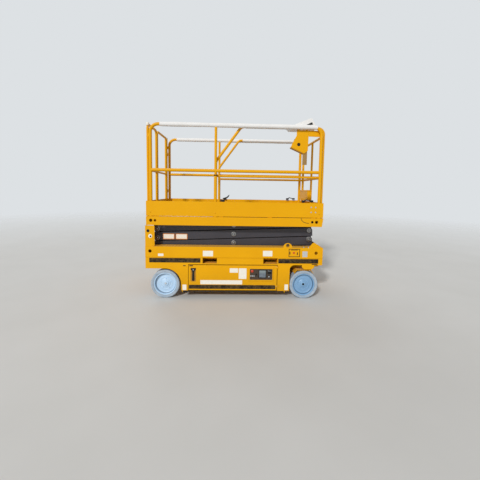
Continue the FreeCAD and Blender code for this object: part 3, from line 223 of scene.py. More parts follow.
# Chassis
# Folded and welded plate steel, powder coated safety yellow after welding. Side beams with fork
# pockets rest on four legs, and the belly spine ties them.
# safety yellow polyester powder coat, baked: even orange-yellow with a soft gloss and faint orange
# peel, dusty on top faces and rubbed to grey primer on the sharpest edges
yellow_coat, tree, shader, spot = new_finish("yellow_powder_coat", {
    "Roughness": 0.42, "IOR": 1.5, "Specular IOR Level": 0.14, "Coat Weight": 0.05,
    "Coat Roughness": 0.2})
# weathering clouds of about 350 mm, and film dust of about 40 mm
base = mix(tree, noise(tree, spot, 0.35, 3.0), "#e4a203", "#efae06")
film = noise(tree, spot, 0.04, 6.0, 0.7)
lying = ramp(tree, upward(tree), 0.3, 1.0, 0.0, 0.45)
dusty = mix(tree, maths(tree, "MULTIPLY", film, lying), base, "#c9b58a")
# road grime thins out from 60 to 420 mm above the floor
low = ramp(tree, part(tree, spot, "Z"), 0.42, 0.06, 0.0, 0.5)
grimy = mix(tree, maths(tree, "MULTIPLY", film, low), dusty, "#6f5520")
# edges: where a 3 mm rounding turns the surface, the coat is rubbed
eased = add(tree, "ShaderNodeBevel", {"samples": 4}, {"Radius": 0.003}).outputs[0]
turned = add(tree, "ShaderNodeVectorMath", {"operation": "DOT_PRODUCT"},
             {0: eased, 1: add(tree, "ShaderNodeNewGeometry").outputs["Normal"]}).outputs["Value"]
rub = ramp(tree, noise(tree, spot, 0.03, 8.0, 0.75), 0.56, 0.68, 0.0, 0.7)
chip = maths(tree, "MULTIPLY", ramp(tree, turned, 0.93, 0.78), rub)
dress(tree, shader, mix(tree, chip, grimy, "#8c7647"), ramp(tree, film, 0.3, 0.8, 0.36, 0.55))
# orange peel is 2 mm across in the real coat; drawn at 7 mm so that it shows
relieve(tree, shader, noise(tree, spot, 0.007, 1.0), 0.05, 0.001, eased)


def paint(names, finish):
    for name in names:
        slots = steel[name].material_slots
        if len(slots) == 0:
            steel[name].data.materials.append(finish)
        for slot in slots:
            slot.link = "OBJECT"
            slot.material = finish


paint(["chassis_frame", "rear_axle", "knuckle_left", "knuckle_right", "ladder"], yellow_coat)


def piece(name, form, finish, body, sharp=38):
    """Makes an object of a form, smooth but for its sharp edges, and lets it ride on its body."""
    mesh = bpy.data.meshes.new(name)
    bmesh.ops.recalc_face_normals(form, faces=form.faces)
    form.to_mesh(mesh)
    form.free()
    mesh.materials.append(finish)
    mesh.shade_smooth()
    mesh.set_sharp_from_angle(angle=math.radians(sharp))
    item = bpy.data.objects.new(name, mesh)
    scene.collection.objects.link(item)
    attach(item, body)
    return item


def slab(form, low, high, ease=0.001, steps=2):
    """A flat or blocky form between two corners, all its edges eased."""
    low, high = Vector(map(min, low, high)), Vector(map(max, low, high))
    size = high - low
    made = bmesh.ops.create_cube(form, size=1.0, matrix=Matrix.Translation((low + high) / 2)
                                 @ Matrix.Diagonal(size).to_4x4())
    edges = list({edge for corner in made["verts"] for edge in corner.link_edges})
    bmesh.ops.bevel(form, geom=edges, offset=min(ease, min(size) * 0.45), segments=steps,
                    affect="EDGES", profile=0.5, clamp_overlap=True)


def bar(form, start, end, radius, ease=0.001, around=24):
    """A round form from start to end, its rims eased."""
    start, end = Vector(start), Vector(end)
    along = end - start
    turn = along.to_track_quat("Z", "Y").to_matrix().to_4x4()
    made = bmesh.ops.create_cone(form, cap_ends=True, segments=around, radius1=radius,
                                 radius2=radius, depth=along.length,
                                 matrix=Matrix.Translation((start + end) / 2) @ turn)
    rims = list({edge for corner in made["verts"] for edge in corner.link_edges
                 if any(len(face.verts) > 4 for face in edge.link_faces)})
    if ease:
        bmesh.ops.bevel(form, geom=rims, offset=min(ease, radius * 0.4, along.length * 0.4),
                        segments=2, affect="EDGES", profile=0.5)


def disc(form, x, z, near, far, radius, ease=0.001, around=24):
    """A round form along Y, from near to far."""
    bar(form, (x, near, z), (x, far, z), radius, ease, around)


def upright(form, x, y, low, high, radius, ease=0.001, around=24):
    """A round form along Z, from low to high."""
    bar(form, (x, y, low), (x, y, high), radius, ease, around)


def sheet_cut(form, outline, near, far, ease=0.0006):
    """A plate cut to an outline in XZ, from near to far along Y; the far face's rim is eased."""
    corners = [form.verts.new((x, near, z)) for x, z in outline]
    raised = bmesh.ops.extrude_face_region(form, geom=[form.faces.new(corners)])
    grown = [item for item in raised["geom"] if isinstance(item, bmesh.types.BMVert)]
    bmesh.ops.translate(form, verts=grown, vec=(0, far - near, 0))
    edges = list({edge for corner in grown for edge in corner.link_edges
                  if all(v in grown for v in edge.verts)})
    bmesh.ops.bevel(form, geom=edges, offset=min(ease, abs(far - near) * 0.4), segments=1,
                    affect="EDGES")


def rounded(x, z, radius, steps=5):
    """The outline of a rectangle with round corners; x and z are (low, high)."""
    points = []
    for cx, cz, first in ((x[1] - radius, z[1] - radius, 0), (x[0] + radius, z[1] - radius, 90),
                          (x[0] + radius, z[0] + radius, 180), (x[1] - radius, z[0] + radius, 270)):
        for i in range(steps + 1):
            angle = math.radians(first + 90 * i / steps)
            points.append((cx + radius * math.cos(angle), cz + radius * math.sin(angle)))
    return points


def plates(form, spans, side, face, below, above, radius=0.004):
    """Thin plates with round corners, sunk below a side face and standing above it."""
    for x, z in spans:
        sheet_cut(form, rounded(x, z, radius), side * (face - below), side * (face + above))


def window_frame(form, x, z, width, near, far, ease):
    """Four bars round a rectangle, from near to far along Y."""
    for low_x, high_x, low_z, high_z in ((x[0], x[1], z[1] - width, z[1]),
                                         (x[0], x[1], z[0], z[0] + width),
                                         (x[0], x[0] + width, z[0], z[1]),
                                         (x[1] - width, x[1], z[0], z[1])):
        slab(form, (low_x, near, low_z), (high_x, far, high_z), ease)


# Grip strips and blank labels
# Self-adhesive strips of mineral grit on a black film where people step and lift, and blank vinyl
# labels, all pressed onto the paint.
# silicon carbide grit in black resin: dull, near black, sparkling slightly, gone brown with dust
grit_film, tree, shader, spot = new_finish("grit_film",
                                           {"Roughness": 0.95, "Specular IOR Level": 0.3})
# the grit is 0.7 mm; drawn at 4 mm so that it shows
grit = grains(tree, spot, 0.004)
dusted = ramp(tree, noise(tree, spot, 0.05, 5.0, 0.7), 0.42, 0.75)
dress(tree, shader, mix(tree, dusted, mix(tree, grit, "#2b231b", "#15120f"), "#6b5630"))
relieve(tree, shader, grit, 0.7, 0.0012)

# printed vinyl left blank: warm white with a low gloss, its rim slightly soiled
label_vinyl = mottled("blank_label_vinyl", {"Roughness": 0.38}, 0.03, 6.0, 0.65,
                      "#faf7ee", "#e6dfcc")

for side, mark in sides:
    form = bmesh.new()
    plates(form, (((-1.128, -0.455), (0.4845, 0.5455)), ((0.582, 1.122), (0.4845, 0.5455))),
           side, plate_face, 0.0002, 0.0012)
    piece("grip_strips_" + mark, form, grit_film, "chassis")
    form = bmesh.new()
    plates(form, (((-0.423, -0.289), (0.574, 0.648)), ((0.374, 0.500), (0.580, 0.655)),
                  ((-1.012, -0.940), (0.572, 0.606))), side, band_face, 0.0004, 0.0003)
    plates(form, (((-0.692, -0.640), (0.112, 0.186)), ((0.676, 0.724), (0.118, 0.196))),
           side, plate_face, 0.0004, 0.0005)
    piece("chassis_labels_" + mark, form, label_vinyl, "chassis")


# Small fittings of the chassis
# A framed recess for the emergency valve, a blank data plate, drain slots and bolts, each screwed
# or let into the beams. Weld beads run where plates meet.
# zinc plated steel, clear passivated: pale, slightly blue, softly mottled, with a satin gloss
zinc = mottled("zinc_plated_steel", {"Metallic": 1.0, "Roughness": 0.34}, 0.006, 3.0, 0.5,
               "#b4b9c0", "#d5d8da", (0.28, 0.44))

# black oxide and oil on steel: near black, a dull sheen, with rust-brown bloom in places
black_oxide, tree, shader, spot = new_finish("black_oxide_steel",
                                             {"Metallic": 0.6, "Roughness": 0.5})
bloom = ramp(tree, noise(tree, spot, 0.02, 6.0, 0.7), 0.5, 0.8, 0.0, 0.6)
dress(tree, shader, mix(tree, bloom, "#1d1d1f", "#3b2e24"))

# anodised aluminium plate left blank: pale grey with a fine brushed grain along it
plate_metal, tree, shader, spot = new_finish("brushed_blank_plate",
                                             {"Metallic": 0.3, "Roughness": 0.4})
# brushing lines are 0.1 mm apart; drawn 1.5 mm apart
brushed = stretched(tree, spot, (20.0, 20.0, 1 / 0.0015))
dress(tree, shader, mix(tree, noise(tree, brushed, 1.0, 2.0), "#b3b7bb", "#d9dad8"))

# signal red ABS, injection moulded: clean and glossy
red_abs = mottled("signal_red_abs", {"Roughness": 0.3, "IOR": 1.54}, 0.02, 3.0, 0.5,
                  "#b92c16", "#d2451f")


def hex_head(form, centre, across, depth, facing):
    """A hexagon bolt head on its washer; facing is the way that it looks."""
    centre, facing = Vector(centre), Vector(facing)
    bar(form, centre, centre + facing * depth * 0.25, across * 0.85, 0.0004)
    bar(form, centre + facing * depth * 0.2, centre + facing * depth, across / math.sqrt(3),
        0.0006, 6)


for side, mark in sides:
    # framed recess: a thin ring, black as painted shade round the recess
    form = bmesh.new()
    window_frame(form, (0.719, 0.870), (0.574, 0.684), 0.008, side * (band_face - 0.002),
                 side * (band_face + 0.0008), 0.0008)
    piece("valve_frame_" + mark, form, black_oxide, "chassis")
    # the slots are black plates on the face; their black is painted shade in the openings
    form = bmesh.new()
    plates(form, (((0.730, 0.741), (0.606, 0.642)), ((0.829, 0.841), (0.600, 0.638)),
                  ((0.748, 0.838), (0.664, 0.672))), side, band_face, 0.001, 0.0004)
    plates(form, (((1.036, 1.114), (0.4675, 0.4795)), ((-0.684, -0.650), (0.4365, 0.4485))),
           side, plate_face, 0.001, 0.0005, 0.0035)
    piece("dark_slots_" + mark, form, black_oxide, "chassis")
    form = bmesh.new()
    disc(form, 0.788, 0.630, side * (band_face - 0.001), side * (band_face + 0.001), 0.014, 0.0008)
    piece("valve_knob_" + mark, form, red_abs, "chassis")
    form = bmesh.new()
    plates(form, (((0.903, 0.971), (0.574, 0.652)),), side, band_face, 0.0004, 0.001, 0.003)
    piece("blank_plate_" + mark, form, plate_metal, "chassis")
    form = bmesh.new()
    for x in (0.908, 0.966):
        for z in (0.579, 0.647):
            disc(form, x, z, side * (band_face + 0.0005), side * (band_face + 0.0012), 0.0025,
                 0.0003, 12)
    for x in (0.922, 0.986):
        hex_head(form, (x, side * 0.569, 0.7), 0.017, 0.011, (0, 0, 1))
    piece("chassis_screws_" + mark, form, zinc, "chassis")


def stitch(form, first, second):
    """Joins two closed rows of corners with faces."""
    count = len(first)
    for k in range(count):
        form.faces.new((first[k], first[(k + 1) % count], second[(k + 1) % count], second[k]))


def weld(form, start, end, radius=0.0035):
    """A cooled weld bead from start to end, with a ripple every 6 mm."""
    start, end = Vector(start), Vector(end)
    steps = max(6, int((end - start).length / 0.006))
    along = (end - start).normalized()
    across = along.orthogonal().normalized()
    third = along.cross(across)
    rows = []
    for i in range(steps + 1):
        centre = start + (end - start) * i / steps
        r = radius * (0.82 + 0.18 * (i % 2)) if 0 < i < steps else radius * 0.4
        rows.append([form.verts.new(centre + across * r * math.cos(a) + third * r * math.sin(a))
                     for a in [k * math.tau / 6 for k in range(6)]])
    for first, second in zip(rows, rows[1:]):
        stitch(form, first, second)
    form.faces.new(rows[0])
    form.faces.new(list(reversed(rows[-1])))


beam_top = 0.7005
leg_top = 0.4615
form = bmesh.new()
for side in (-1, 1):
    weld(form, (-1.176, side * plate_face, 0.5545), (1.176, side * plate_face, 0.5545), 0.003)
    for start_x, end_x in ((0.648, 0.762), (0.990, 1.156)):
        weld(form, (start_x, side * 0.571, beam_top), (end_x, side * 0.571, beam_top))
    for x in (-0.710, -0.617, 0.577, 0.660):
        weld(form, (x, side * 0.572, leg_top), (x, side * 0.480, leg_top))
    weld(form, (-1.177, side * 0.572, beam_top), (-1.080, side * 0.572, beam_top))
piece("weld_beads", form, yellow_coat, "chassis")


# Ladder columns
# A folded flange closes each column toward the arms; the upper hole has a dark plug, and the lower
# one a white bushing round a dark bolt.
form = bmesh.new()
plugs = bmesh.new()
bushes = bmesh.new()
for side in (-1, 1):
    slab(form, (-1.0785, side * 0.5790, 0.7015), (-1.0560, side * 0.5740, 0.9735), 0.0012)
    disc(plugs, -1.140, 0.905, side * 0.5720, side * 0.5750, 0.0205, 0.0005, 28)
    disc(plugs, -1.108, 0.833, side * 0.5790, side * 0.5835, 0.0115, 0.001, 20)
    disc(bushes, -1.112, 0.836, side * 0.5740, side * 0.5822, 0.0255, 0.002, 28)
piece("column_flanges", form, yellow_coat, "chassis")
piece("column_plugs", plugs, black_oxide, "chassis")
piece("column_bushes", bushes, label_vinyl, "chassis")


# Wheels
# Solid rubber tyres are pressed onto dished steel rims, and each rim is held on its hub by a ring
# of nuts and a castle nut under a cap.
# non-marking solid rubber, moulded: pale blue-grey, matt, scuffed and dusty round the tread
grey_rubber, tree, shader, spot = new_finish("non_marking_rubber",
                                             {"Roughness": 0.82, "Specular IOR Level": 0.3})
smear = noise(tree, spot, 0.06, 7.0, 0.7)
rubber_tone = mix(tree, ramp(tree, smear, 0.38, 0.68), "#98a7b5", "#b3bec8")
specks = ramp(tree, noise(tree, spot, 0.008, 4.0), 0.6, 0.78, 0.0, 0.5)
dress(tree, shader, mix(tree, specks, rubber_tone, "#7d7a72"))
relieve(tree, shader, smear, 0.3, 0.0008)

# pale blue stove enamel on pressed steel: even and semi-gloss, softly mottled, with painted shade
# on the front rims and in the dish's corner
blue_enamel, tree, shader, spot = new_finish("pale_blue_rim_enamel",
                                             {"Roughness": 0.38, "IOR": 1.5})
dusting = noise(tree, spot, 0.05, 6.0, 0.65)
forward = part(tree, spot, "X")
# the front rims are painted a deeper blue than the rear ones: painted shade, as their paint is the
# same
rim_paint_and_front_shade = mix(tree, ramp(tree, forward, -0.3, 0.5), mix(tree, dusting, "#b0d0ec", "#c4dbef"),
                mix(tree, dusting, "#6f9cc4", "#8fb3d2"))
# painted shade darkens the corner between the disc and the rolled lip, 529 to 560 mm out, for the
# lip's shadow on the dish
outward = maths(tree, "ABSOLUTE", part(tree, spot, "Y"))
corner = maths(tree, "MULTIPLY", ramp(tree, outward, 0.5292, 0.5345),
               ramp(tree, outward, 0.5400, 0.5600, 0.70, 0.0))
# only near the lip, beyond 112 mm from either axle
half_base = (front_axle - rear_axle) / 2
from_middle = maths(tree, "SUBTRACT", forward, (front_axle + rear_axle) / 2)
along_x = maths(tree, "SUBTRACT", maths(tree, "ABSOLUTE", from_middle), half_base)
along_z = maths(tree, "SUBTRACT", part(tree, spot, "Z"), tyre_radius)
from_axle = add(tree, "ShaderNodeCombineXYZ", feeds={0: along_x, 1: along_z}).outputs[0]
near_lip = ramp(tree, length(tree, from_axle), 0.112, 0.124)
# the dark blue mixed in here is the painted shade in the dish's corner
dress(tree, shader, mix(tree, maths(tree, "MULTIPLY", corner, near_lip), rim_paint_and_front_shade, "#2c3f54"))


def lathe(form, profile, centre, out, steps=64):
    """Turns a (radius, along Y) profile about an axle along Y and closes it; out is +1 or -1."""
    rows = []
    for i in range(steps):
        angle = i * math.tau / steps
        rows.append([form.verts.new((centre[0] + r * math.cos(angle), centre[1] + y * out,
                                     centre[2] + r * math.sin(angle))) for r, y in profile])
    for first, second in zip(rows, rows[1:] + rows[:1]):
        for k in range(len(profile) - 1):
            form.faces.new((first[k], first[k + 1], second[k + 1], second[k]))
        if profile[0] != profile[-1] and profile[0][0] + profile[-1][0] > 0:
            form.faces.new((first[-1], first[0], second[0], second[-1]))
    bmesh.ops.remove_doubles(form, verts=[corner for row in rows for corner in row], dist=1e-6)


# a tyre's half section, from its bead ring over the shoulder to the middle of the tread
tyre_half = 0.0635
rim_seat = 0.152
shoulder = 0.011
wheel_y = 0.5095
half_section = [(rim_seat, 0.0575), (rim_seat + 0.003, 0.0605), (rim_seat + 0.007, 0.0615),
                (rim_seat + 0.010, 0.0600), (rim_seat + 0.013, 0.0622),
                (rim_seat + 0.018, tyre_half)]
half_section += [(tyre_radius - shoulder + shoulder * math.sin(math.radians(a)),
                  tyre_half - shoulder + shoulder * math.cos(math.radians(a)))
                 for a in range(10, 91, 16)]
half_section += [(tyre_radius, 0.030), (tyre_radius, 0.012), (tyre_radius, 0.0)]
tyre_section = half_section + [(r, -y) for r, y in reversed(half_section[:-1])]
# rim: barrel and back, raised hub, pressed rings, flat disc, rounded foot and rolled lip
rim_section = [(0.1518, -0.0575), (0.138, -0.0575), (0.130, 0.008), (0.060, 0.008),
               (0.060, -0.010), (0.0255, -0.010), (0.0255, 0.030), (0.0150, 0.0302),
               (0.0150, 0.0400), (0.030, 0.0398), (0.0340, 0.0385), (0.0362, 0.0350),
               (0.0375, 0.0300), (0.0400, 0.0275), (0.0440, 0.0268), (0.0500, 0.0275),
               (0.0540, 0.0268), (0.0575, 0.0235), (0.0620, 0.0205), (0.0700, 0.0195),
               (0.0780, 0.0190), (0.0800, 0.0206), (0.0820, 0.0206), (0.0840, 0.0190),
               (0.1180, 0.0185), (0.1260, 0.0200), (0.1315, 0.0250), (0.1345, 0.0330),
               (0.1362, 0.0450), (0.1380, 0.0535), (0.1405, 0.0572), (0.1440, 0.0586),
               (0.1480, 0.0584), (0.1505, 0.0570), (0.1518, 0.0545), (0.1518, -0.0575)]
cap_section = [(0.0, 0.0500), (0.0070, 0.0498), (0.0105, 0.0482), (0.0122, 0.0450),
               (0.0125, 0.0390), (0.0175, 0.0388), (0.0180, 0.0375), (0.0, 0.0375)]
nut_circle = 0.066
for end, x in (("front", front_axle), ("rear", rear_axle)):
    for out, mark in sides:
        body = "wheel_%s_%s" % (end, mark)
        centre = (x, wheel_y * out, tyre_radius)
        form = bmesh.new()
        lathe(form, tyre_section, centre, out, 72)
        tyre = piece("rubber_tyre_%s_%s" % (end, mark), form, grey_rubber, body, 50)
        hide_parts("tyre_%s_%s" % (end, mark))
        form = bmesh.new()
        lathe(form, rim_section, centre, out, 72)
        rim = piece("dished_rim_%s_%s" % (end, mark), form, blue_enamel, body, 50)
        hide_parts("rim_%s_%s" % (end, mark))
        # the nuts are painted over with the rim
        form = bmesh.new()
        for k in range(5):
            angle = math.radians(90 + 72 * k)
            hex_head(form, (x + nut_circle * math.cos(angle), centre[1] + out * 0.0190,
                            tyre_radius + nut_circle * math.sin(angle)), 0.013, 0.008, (0, out, 0))
        piece("wheel_nuts_%s_%s" % (end, mark), form, blue_enamel, body)
        # the front caps are black as painted shade, the rear ones bright zinc
        form = bmesh.new()
        lathe(form, cap_section, centre, out, 32)
        piece("hub_cap_%s_%s" % (end, mark), form, black_oxide if end == "front" else zinc, body,
              60)


# Swing-out doors
# Each tray's door is a flat plate on two lift-off hinges with a sunk T handle. The right door also
# frames the ground controls; grip strip and blank labels are pressed on.
paint(["door_left", "door_right", "tray_left", "tray_right"], yellow_coat)

# glass filled nylon, moulded and blasted: dark grey-black, matt, fine-grained
black_nylon, tree, shader, spot = new_finish("black_moulded_nylon",
                                             {"Roughness": 0.6, "Specular IOR Level": 0.25})
dress(tree, shader, mix(tree, noise(tree, spot, 0.03, 5.0), "#111113", "#2a2722"))
# the moulded grain is 0.3 mm; drawn at 1.5 mm
relieve(tree, shader, noise(tree, spot, 0.0015, 2.0), 0.15, 0.0004)

# polycarbonate window over a liquid crystal: grey-blue and glossy, greener at its top
screen_glass, tree, shader, spot = new_finish("display_polycarbonate",
                                              {"Roughness": 0.12, "IOR": 1.58})
haze = mix(tree, noise(tree, spot, 0.03, 3.0), "#56616d", "#7f8a94")
dress(tree, shader, mix(tree, ramp(tree, part(tree, spot, "Z"), 0.335, 0.385), haze, "#8b9a9b"))

# ground controls' back plate: dark grey painted steel, warm with dust
panel_paint = mottled("dark_panel_paint", {"Roughness": 0.5}, 0.04, 6.0, 0.7, "#2b2420", "#52412f")
paint(["control_panel", "hydraulic_unit"], panel_paint)

# yellow coat inside a pressed cup, darkened to brown as painted shade
cup_shade = mottled("painted_shade_cup_paint", {"Roughness": 0.7}, 0.015, 6.0, 0.7, "#8a5c0c", "#c98f14")

handle = [(-0.583, 0.411), (-0.515, 0.411), (-0.515, 0.390), (-0.530, 0.380), (-0.5345, 0.345),
          (-0.5325, 0.250), (-0.538, 0.238), (-0.560, 0.238), (-0.5655, 0.250), (-0.5635, 0.345),
          (-0.568, 0.380), (-0.583, 0.390)]
for side, mark in sides:
    body = "swing_tray_" + mark
    form = bmesh.new()
    plates(form, (((-0.606, 0.552), (0.130, 0.184)),), side, plate_face, 0.0002, 0.0012)
    piece("door_grip_strip_" + mark, form, grit_film, body)
    form = bmesh.new()
    plates(form, (((-0.455, 0.104), (0.193, 0.249)), ((-0.065, 0.046), (0.353, 0.413)),
                  ((0.056, 0.160), (0.268, 0.413))), side, plate_face, 0.0004, 0.0004, 0.003)
    piece("door_labels_" + mark, form, label_vinyl, body)
    # T handle: a black cast grip in a cup pressed into the plate, with a bright bolt at its pivot
    # the cup's brown is painted shade
    form = bmesh.new()
    plates(form, (((-0.5855, -0.5135), (0.229, 0.4135)),), side, plate_face, -0.0001, 0.0010, 0.008)
    piece("latch_cup_" + mark, form, cup_shade, body)
    form = bmesh.new()
    sheet_cut(form, handle, side * (plate_face + 0.0008), side * (plate_face + 0.0055), 0.0018)
    # slot for the hinge's lift-out pin, just under the door's top edge, drawn as a black plate:
    # painted shade in the opening
    plates(form, (((-0.604, -0.552), (0.4360, 0.4490)),), side, plate_face, 0.001, 0.0006, 0.0035)
    piece("latch_grip_" + mark, form, black_nylon, body)
    form = bmesh.new()
    disc(form, -0.549, 0.388, side * (plate_face + 0.003), side * (plate_face + 0.0058), 0.0085)
    for z in (0.1675, 0.4388):
        for x in (0.5555, 0.5685):
            disc(form, x, z, side * 0.5835, side * 0.5849, 0.0032, 0.0006, 12)
    piece("door_screws_" + mark, form, zinc, body)

# ground controls: mushroom stop, key switch, paddle, breaker button and display in its bezel; they
# stand on the panel's face, towards -Y
panel_face = -0.5735
key_x, key_z = 0.462, 0.300
form = bmesh.new()
lathe(form, [(0.0, 0.0135), (0.010, 0.0132), (0.0165, 0.0115), (0.0192, 0.0085), (0.0195, 0.0060),
             (0.0185, 0.0035), (0.0120, 0.0030), (0.0120, -0.0020), (0.0, -0.0020)],
      (0.236, -0.5712, 0.375), -1, 32)
piece("stop_button", form, red_abs, "swing_tray_right")
form = bmesh.new()
window_frame(form, (0.322, 0.428), (0.280, 0.394), 0.010, panel_face, -0.5788, 0.0015)
disc(form, key_x, key_z, panel_face, -0.5795, 0.017)
disc(form, 0.292, 0.330, panel_face, -0.5795, 0.012)
slab(form, (0.2885, -0.5790, 0.319), (0.2955, -0.5835, 0.341), 0.0018)
slab(form, (0.442, panel_face, 0.335), (0.494, -0.5785, 0.388), 0.003)
piece("control_fittings", form, black_nylon, "swing_tray_right")
form = bmesh.new()
sheet_cut(form, rounded((0.331, 0.419), (0.289, 0.385), 0.002), -0.5768, -0.5776)
piece("display_window", form, screen_glass, "swing_tray_right")
form = bmesh.new()
slab(form, (key_x - 0.0025, -0.5790, 0.290), (key_x + 0.0025, -0.5845, 0.310), 0.0012)
disc(form, key_x, key_z, -0.579, -0.5802, 0.0105, 0.0006)
for z in (0.263, 0.401):
    for x in (0.210, 0.502):
        disc(form, x, z, -0.5738, -0.5756, 0.0035, 0.0006, 12)
for x in (0.452, 0.468, 0.484):
    disc(form, x, 0.3775, -0.5783, -0.5805, 0.0042, 0.0006, 12)
piece("control_key_and_screws", form, zinc, "swing_tray_right")
form = bmesh.new()
for x in (0.213, 0.234, 0.255):
    sheet_cut(form, rounded((x, x + 0.013), (0.300, 0.316), 0.002), -0.5738, -0.5744)
piece("control_labels", form, plate_metal, "swing_tray_right")


# Tray loads
# The right tray carries the oil tank, pump and motor; the left tray carries four traction
# batteries, each with a lid, vent caps and lead terminals.
# polypropylene battery case, moulded: dark blue-grey, waxy, with faint flow marks
case_pp = mottled("battery_case_polypropylene", {"Roughness": 0.45, "IOR": 1.49}, 0.06, 5.0, 0.5,
                  "#23262b", "#3a3d42")
paint(["batteries"], case_pp)
form = bmesh.new()
caps = bmesh.new()
posts = bmesh.new()
for low_x in (-0.520, -0.255, 0.010, 0.275):
    slab(form, (low_x - 0.003, 0.222, 0.366), (low_x + 0.258, 0.544, 0.4045), 0.004)
    for y in (0.30, 0.383, 0.466):
        upright(caps, low_x + 0.1275, y, 0.402, 0.412, 0.019, 0.003)
    for x in (low_x + 0.035, low_x + 0.220):
        upright(posts, x, 0.262, 0.402, 0.420, 0.009)
piece("battery_lids", form, case_pp, "swing_tray_left")
piece("battery_caps", caps, red_abs, "swing_tray_left")
piece("battery_posts", posts, zinc, "swing_tray_left")
# the tank's filler cap, the tank's ribs and the motor's end
form = bmesh.new()
upright(form, -0.40, -0.36, 0.398, 0.424, 0.032, 0.004)
upright(form, -0.40, -0.36, 0.420, 0.432, 0.024, 0.003, 6)
for z in (0.170, 0.234, 0.298):
    slab(form, (-0.156, -0.5225, z), (0.036, -0.5195, z + 0.008), 0.0012)
bar(form, (0.186, -0.410, 0.234), (0.200, -0.410, 0.234), 0.062, 0.004)
piece("pump_fittings", form, black_nylon, "swing_tray_right")


# Pothole guards
# A dark flap under each side swings down between the wheels as the platform rises; its lower edge
# carries a worn rubbing strip. Nylon pads under the rear legs meet a kerb first.
paint(["guard_left", "guard_right"], panel_paint)
for side, mark in sides:
    form = bmesh.new()
    slab(form, (-0.681, side * 0.5715, 0.0880), (0.664, side * 0.5655, 0.0985), 0.0015)
    piece("guard_rubbing_edge_" + mark, form, black_nylon, "guard_" + mark)
form = bmesh.new()
for side in (-1, 1):
    slab(form, (-0.702, side * 0.5765, 0.0815), (-0.630, side * 0.5055, 0.1055), 0.004)
piece("leg_pads", form, black_nylon, "chassis")


# Scissor stack
# Eight pairs of arms are rectangular steel tube with eyes bored in line, and turn on hollow
# hardened pins with snap rings. The stack is the lift's most skilful piece of work.
# charcoal polyester powder coat: blue-grey black with a satin sheen, browned where dust lies
charcoal_coat, tree, shader, spot = new_finish("charcoal_powder_coat",
                                               {"Roughness": 0.4, "IOR": 1.5})
arm_tone = mix(tree, noise(tree, spot, 0.25, 5.0, 0.6), "#2b2a31", "#3f3f48")
settled = noise(tree, spot, 0.035, 6.0, 0.7)
brown = maths(tree, "MULTIPLY", settled, ramp(tree, upward(tree), 0.2, 1.0, 0.1, 0.8))
dress(tree, shader, mix(tree, brown, arm_tone, "#6b5a48"), ramp(tree, settled, 0.3, 0.7, 0.32, 0.5))
eased = add(tree, "ShaderNodeBevel", {"samples": 4}, {"Radius": 0.005}).outputs[0]
relieve(tree, shader, noise(tree, spot, 0.008, 1.0), 0.05, 0.001, eased)
paint(["%s_arms_%d" % (kind, k) for kind in ("inner", "outer") for k in range(1, 5)], charcoal_coat)

# ground alloy steel, oiled: dark bright metal with fine turning rings
pin_metal = mottled("ground_pin_steel", {"Metallic": 1.0, "Roughness": 0.3}, 0.012, 5.0, 0.5,
                    "#6d6a66", "#a9a7a4", (0.2, 0.45))
paint(["scissor_pins_%d" % k for k in range(1, 5)] + ["tie_rod"], pin_metal)

level_rise = 0.1235
pin_span = 2.09065
stow = math.asin(level_rise / pin_span)
first_pin = Vector((-1.060, 0, 0.541))
outer_face = 0.424
ring_section = [(0.0255, -0.0022), (0.0255, 0.0016), (0.0300, 0.0018), (0.0325, 0.0008),
                (0.0325, -0.0022)]
for k in range(1, 5):
    body = "outer_%d" % k
    low = first_pin + Vector((0, 0, level_rise * (k - 1)))
    rings = bmesh.new()
    nipples = bmesh.new()
    for share in (0, 0.5, 1):
        for side in (-1, 1):
            x = low.x + math.cos(stow) * pin_span * share
            z = low.z + math.sin(stow) * pin_span * share
            lathe(rings, ring_section, (x, side * outer_face, z), side, 32)
            disc(nipples, x, z, side * (outer_face - 0.004), side * (outer_face + 0.002), 0.0085,
                 0.0010, 6)
            disc(nipples, x, z, side * (outer_face + 0.001), side * (outer_face + 0.007), 0.0040,
                 0.0008, 12)
    piece("snap_rings_%d" % k, rings, pin_metal, body)
    piece("grease_nipples_%d" % k, nipples, zinc, body)

# two blank orange-rimmed labels at the rear of the third level's outer arms
# vinyl with an orange printed rim round a cream field, faded by sun
rim_vinyl = mottled("orange_rim_vinyl", {"Roughness": 0.4}, 0.03, 5.0, 0.5, "#d9802a", "#e39a4a")
arm_face = 0.4201
for side, mark in sides:
    ring = bmesh.new()
    field = bmesh.new()
    for x in ((-0.984, -0.828), (-0.812, -0.652)):
        plates(ring, ((x, (0.768, 0.846)),), side, arm_face, 0.0004, 0.0003)
        inner_x = (x[0] + 0.009, x[1] - 0.009)
        plates(field, ((inner_x, (0.777, 0.837)),), side, arm_face, 0, 0.0006, 0.003)
    piece("arm_label_rims_" + mark, ring, rim_vinyl, "outer_3")
    piece("arm_label_fields_" + mark, field, label_vinyl, "outer_3")


# Slide blocks and lift cylinder
# Bronze-filled nylon blocks run in the tracks. The cylinder is a painted tube with a threaded
# gland and a chromed rod.
paint(["lower_slide_blocks", "upper_slide_blocks"], black_nylon)
paint(["cylinder_barrel"], charcoal_coat)
# hard chrome on ground steel: mirror bright with faint oil streaks along the rod
hard_chrome, tree, shader, spot = new_finish("hard_chrome", {"Metallic": 1.0, "Roughness": 0.1})
streak = noise(tree, stretched(tree, spot, (3.0, 120.0, 120.0)), 1.0, 3.0)
dress(tree, shader, mix(tree, streak, "#c4c6c9", "#e2e3e4"),
      ramp(tree, streak, first=0.06, last=0.18))
paint(["cylinder_rod"], hard_chrome)


# Platform
# A welded steel deck with flanged side beams and bolted toe boards; its floor is raised-pattern
# plate.
paint(["platform_deck", "toe_boards", "main_rails", "gate", "gate_toe", "extension_deck",
       "extension_rails", "control_box_guard"], yellow_coat)
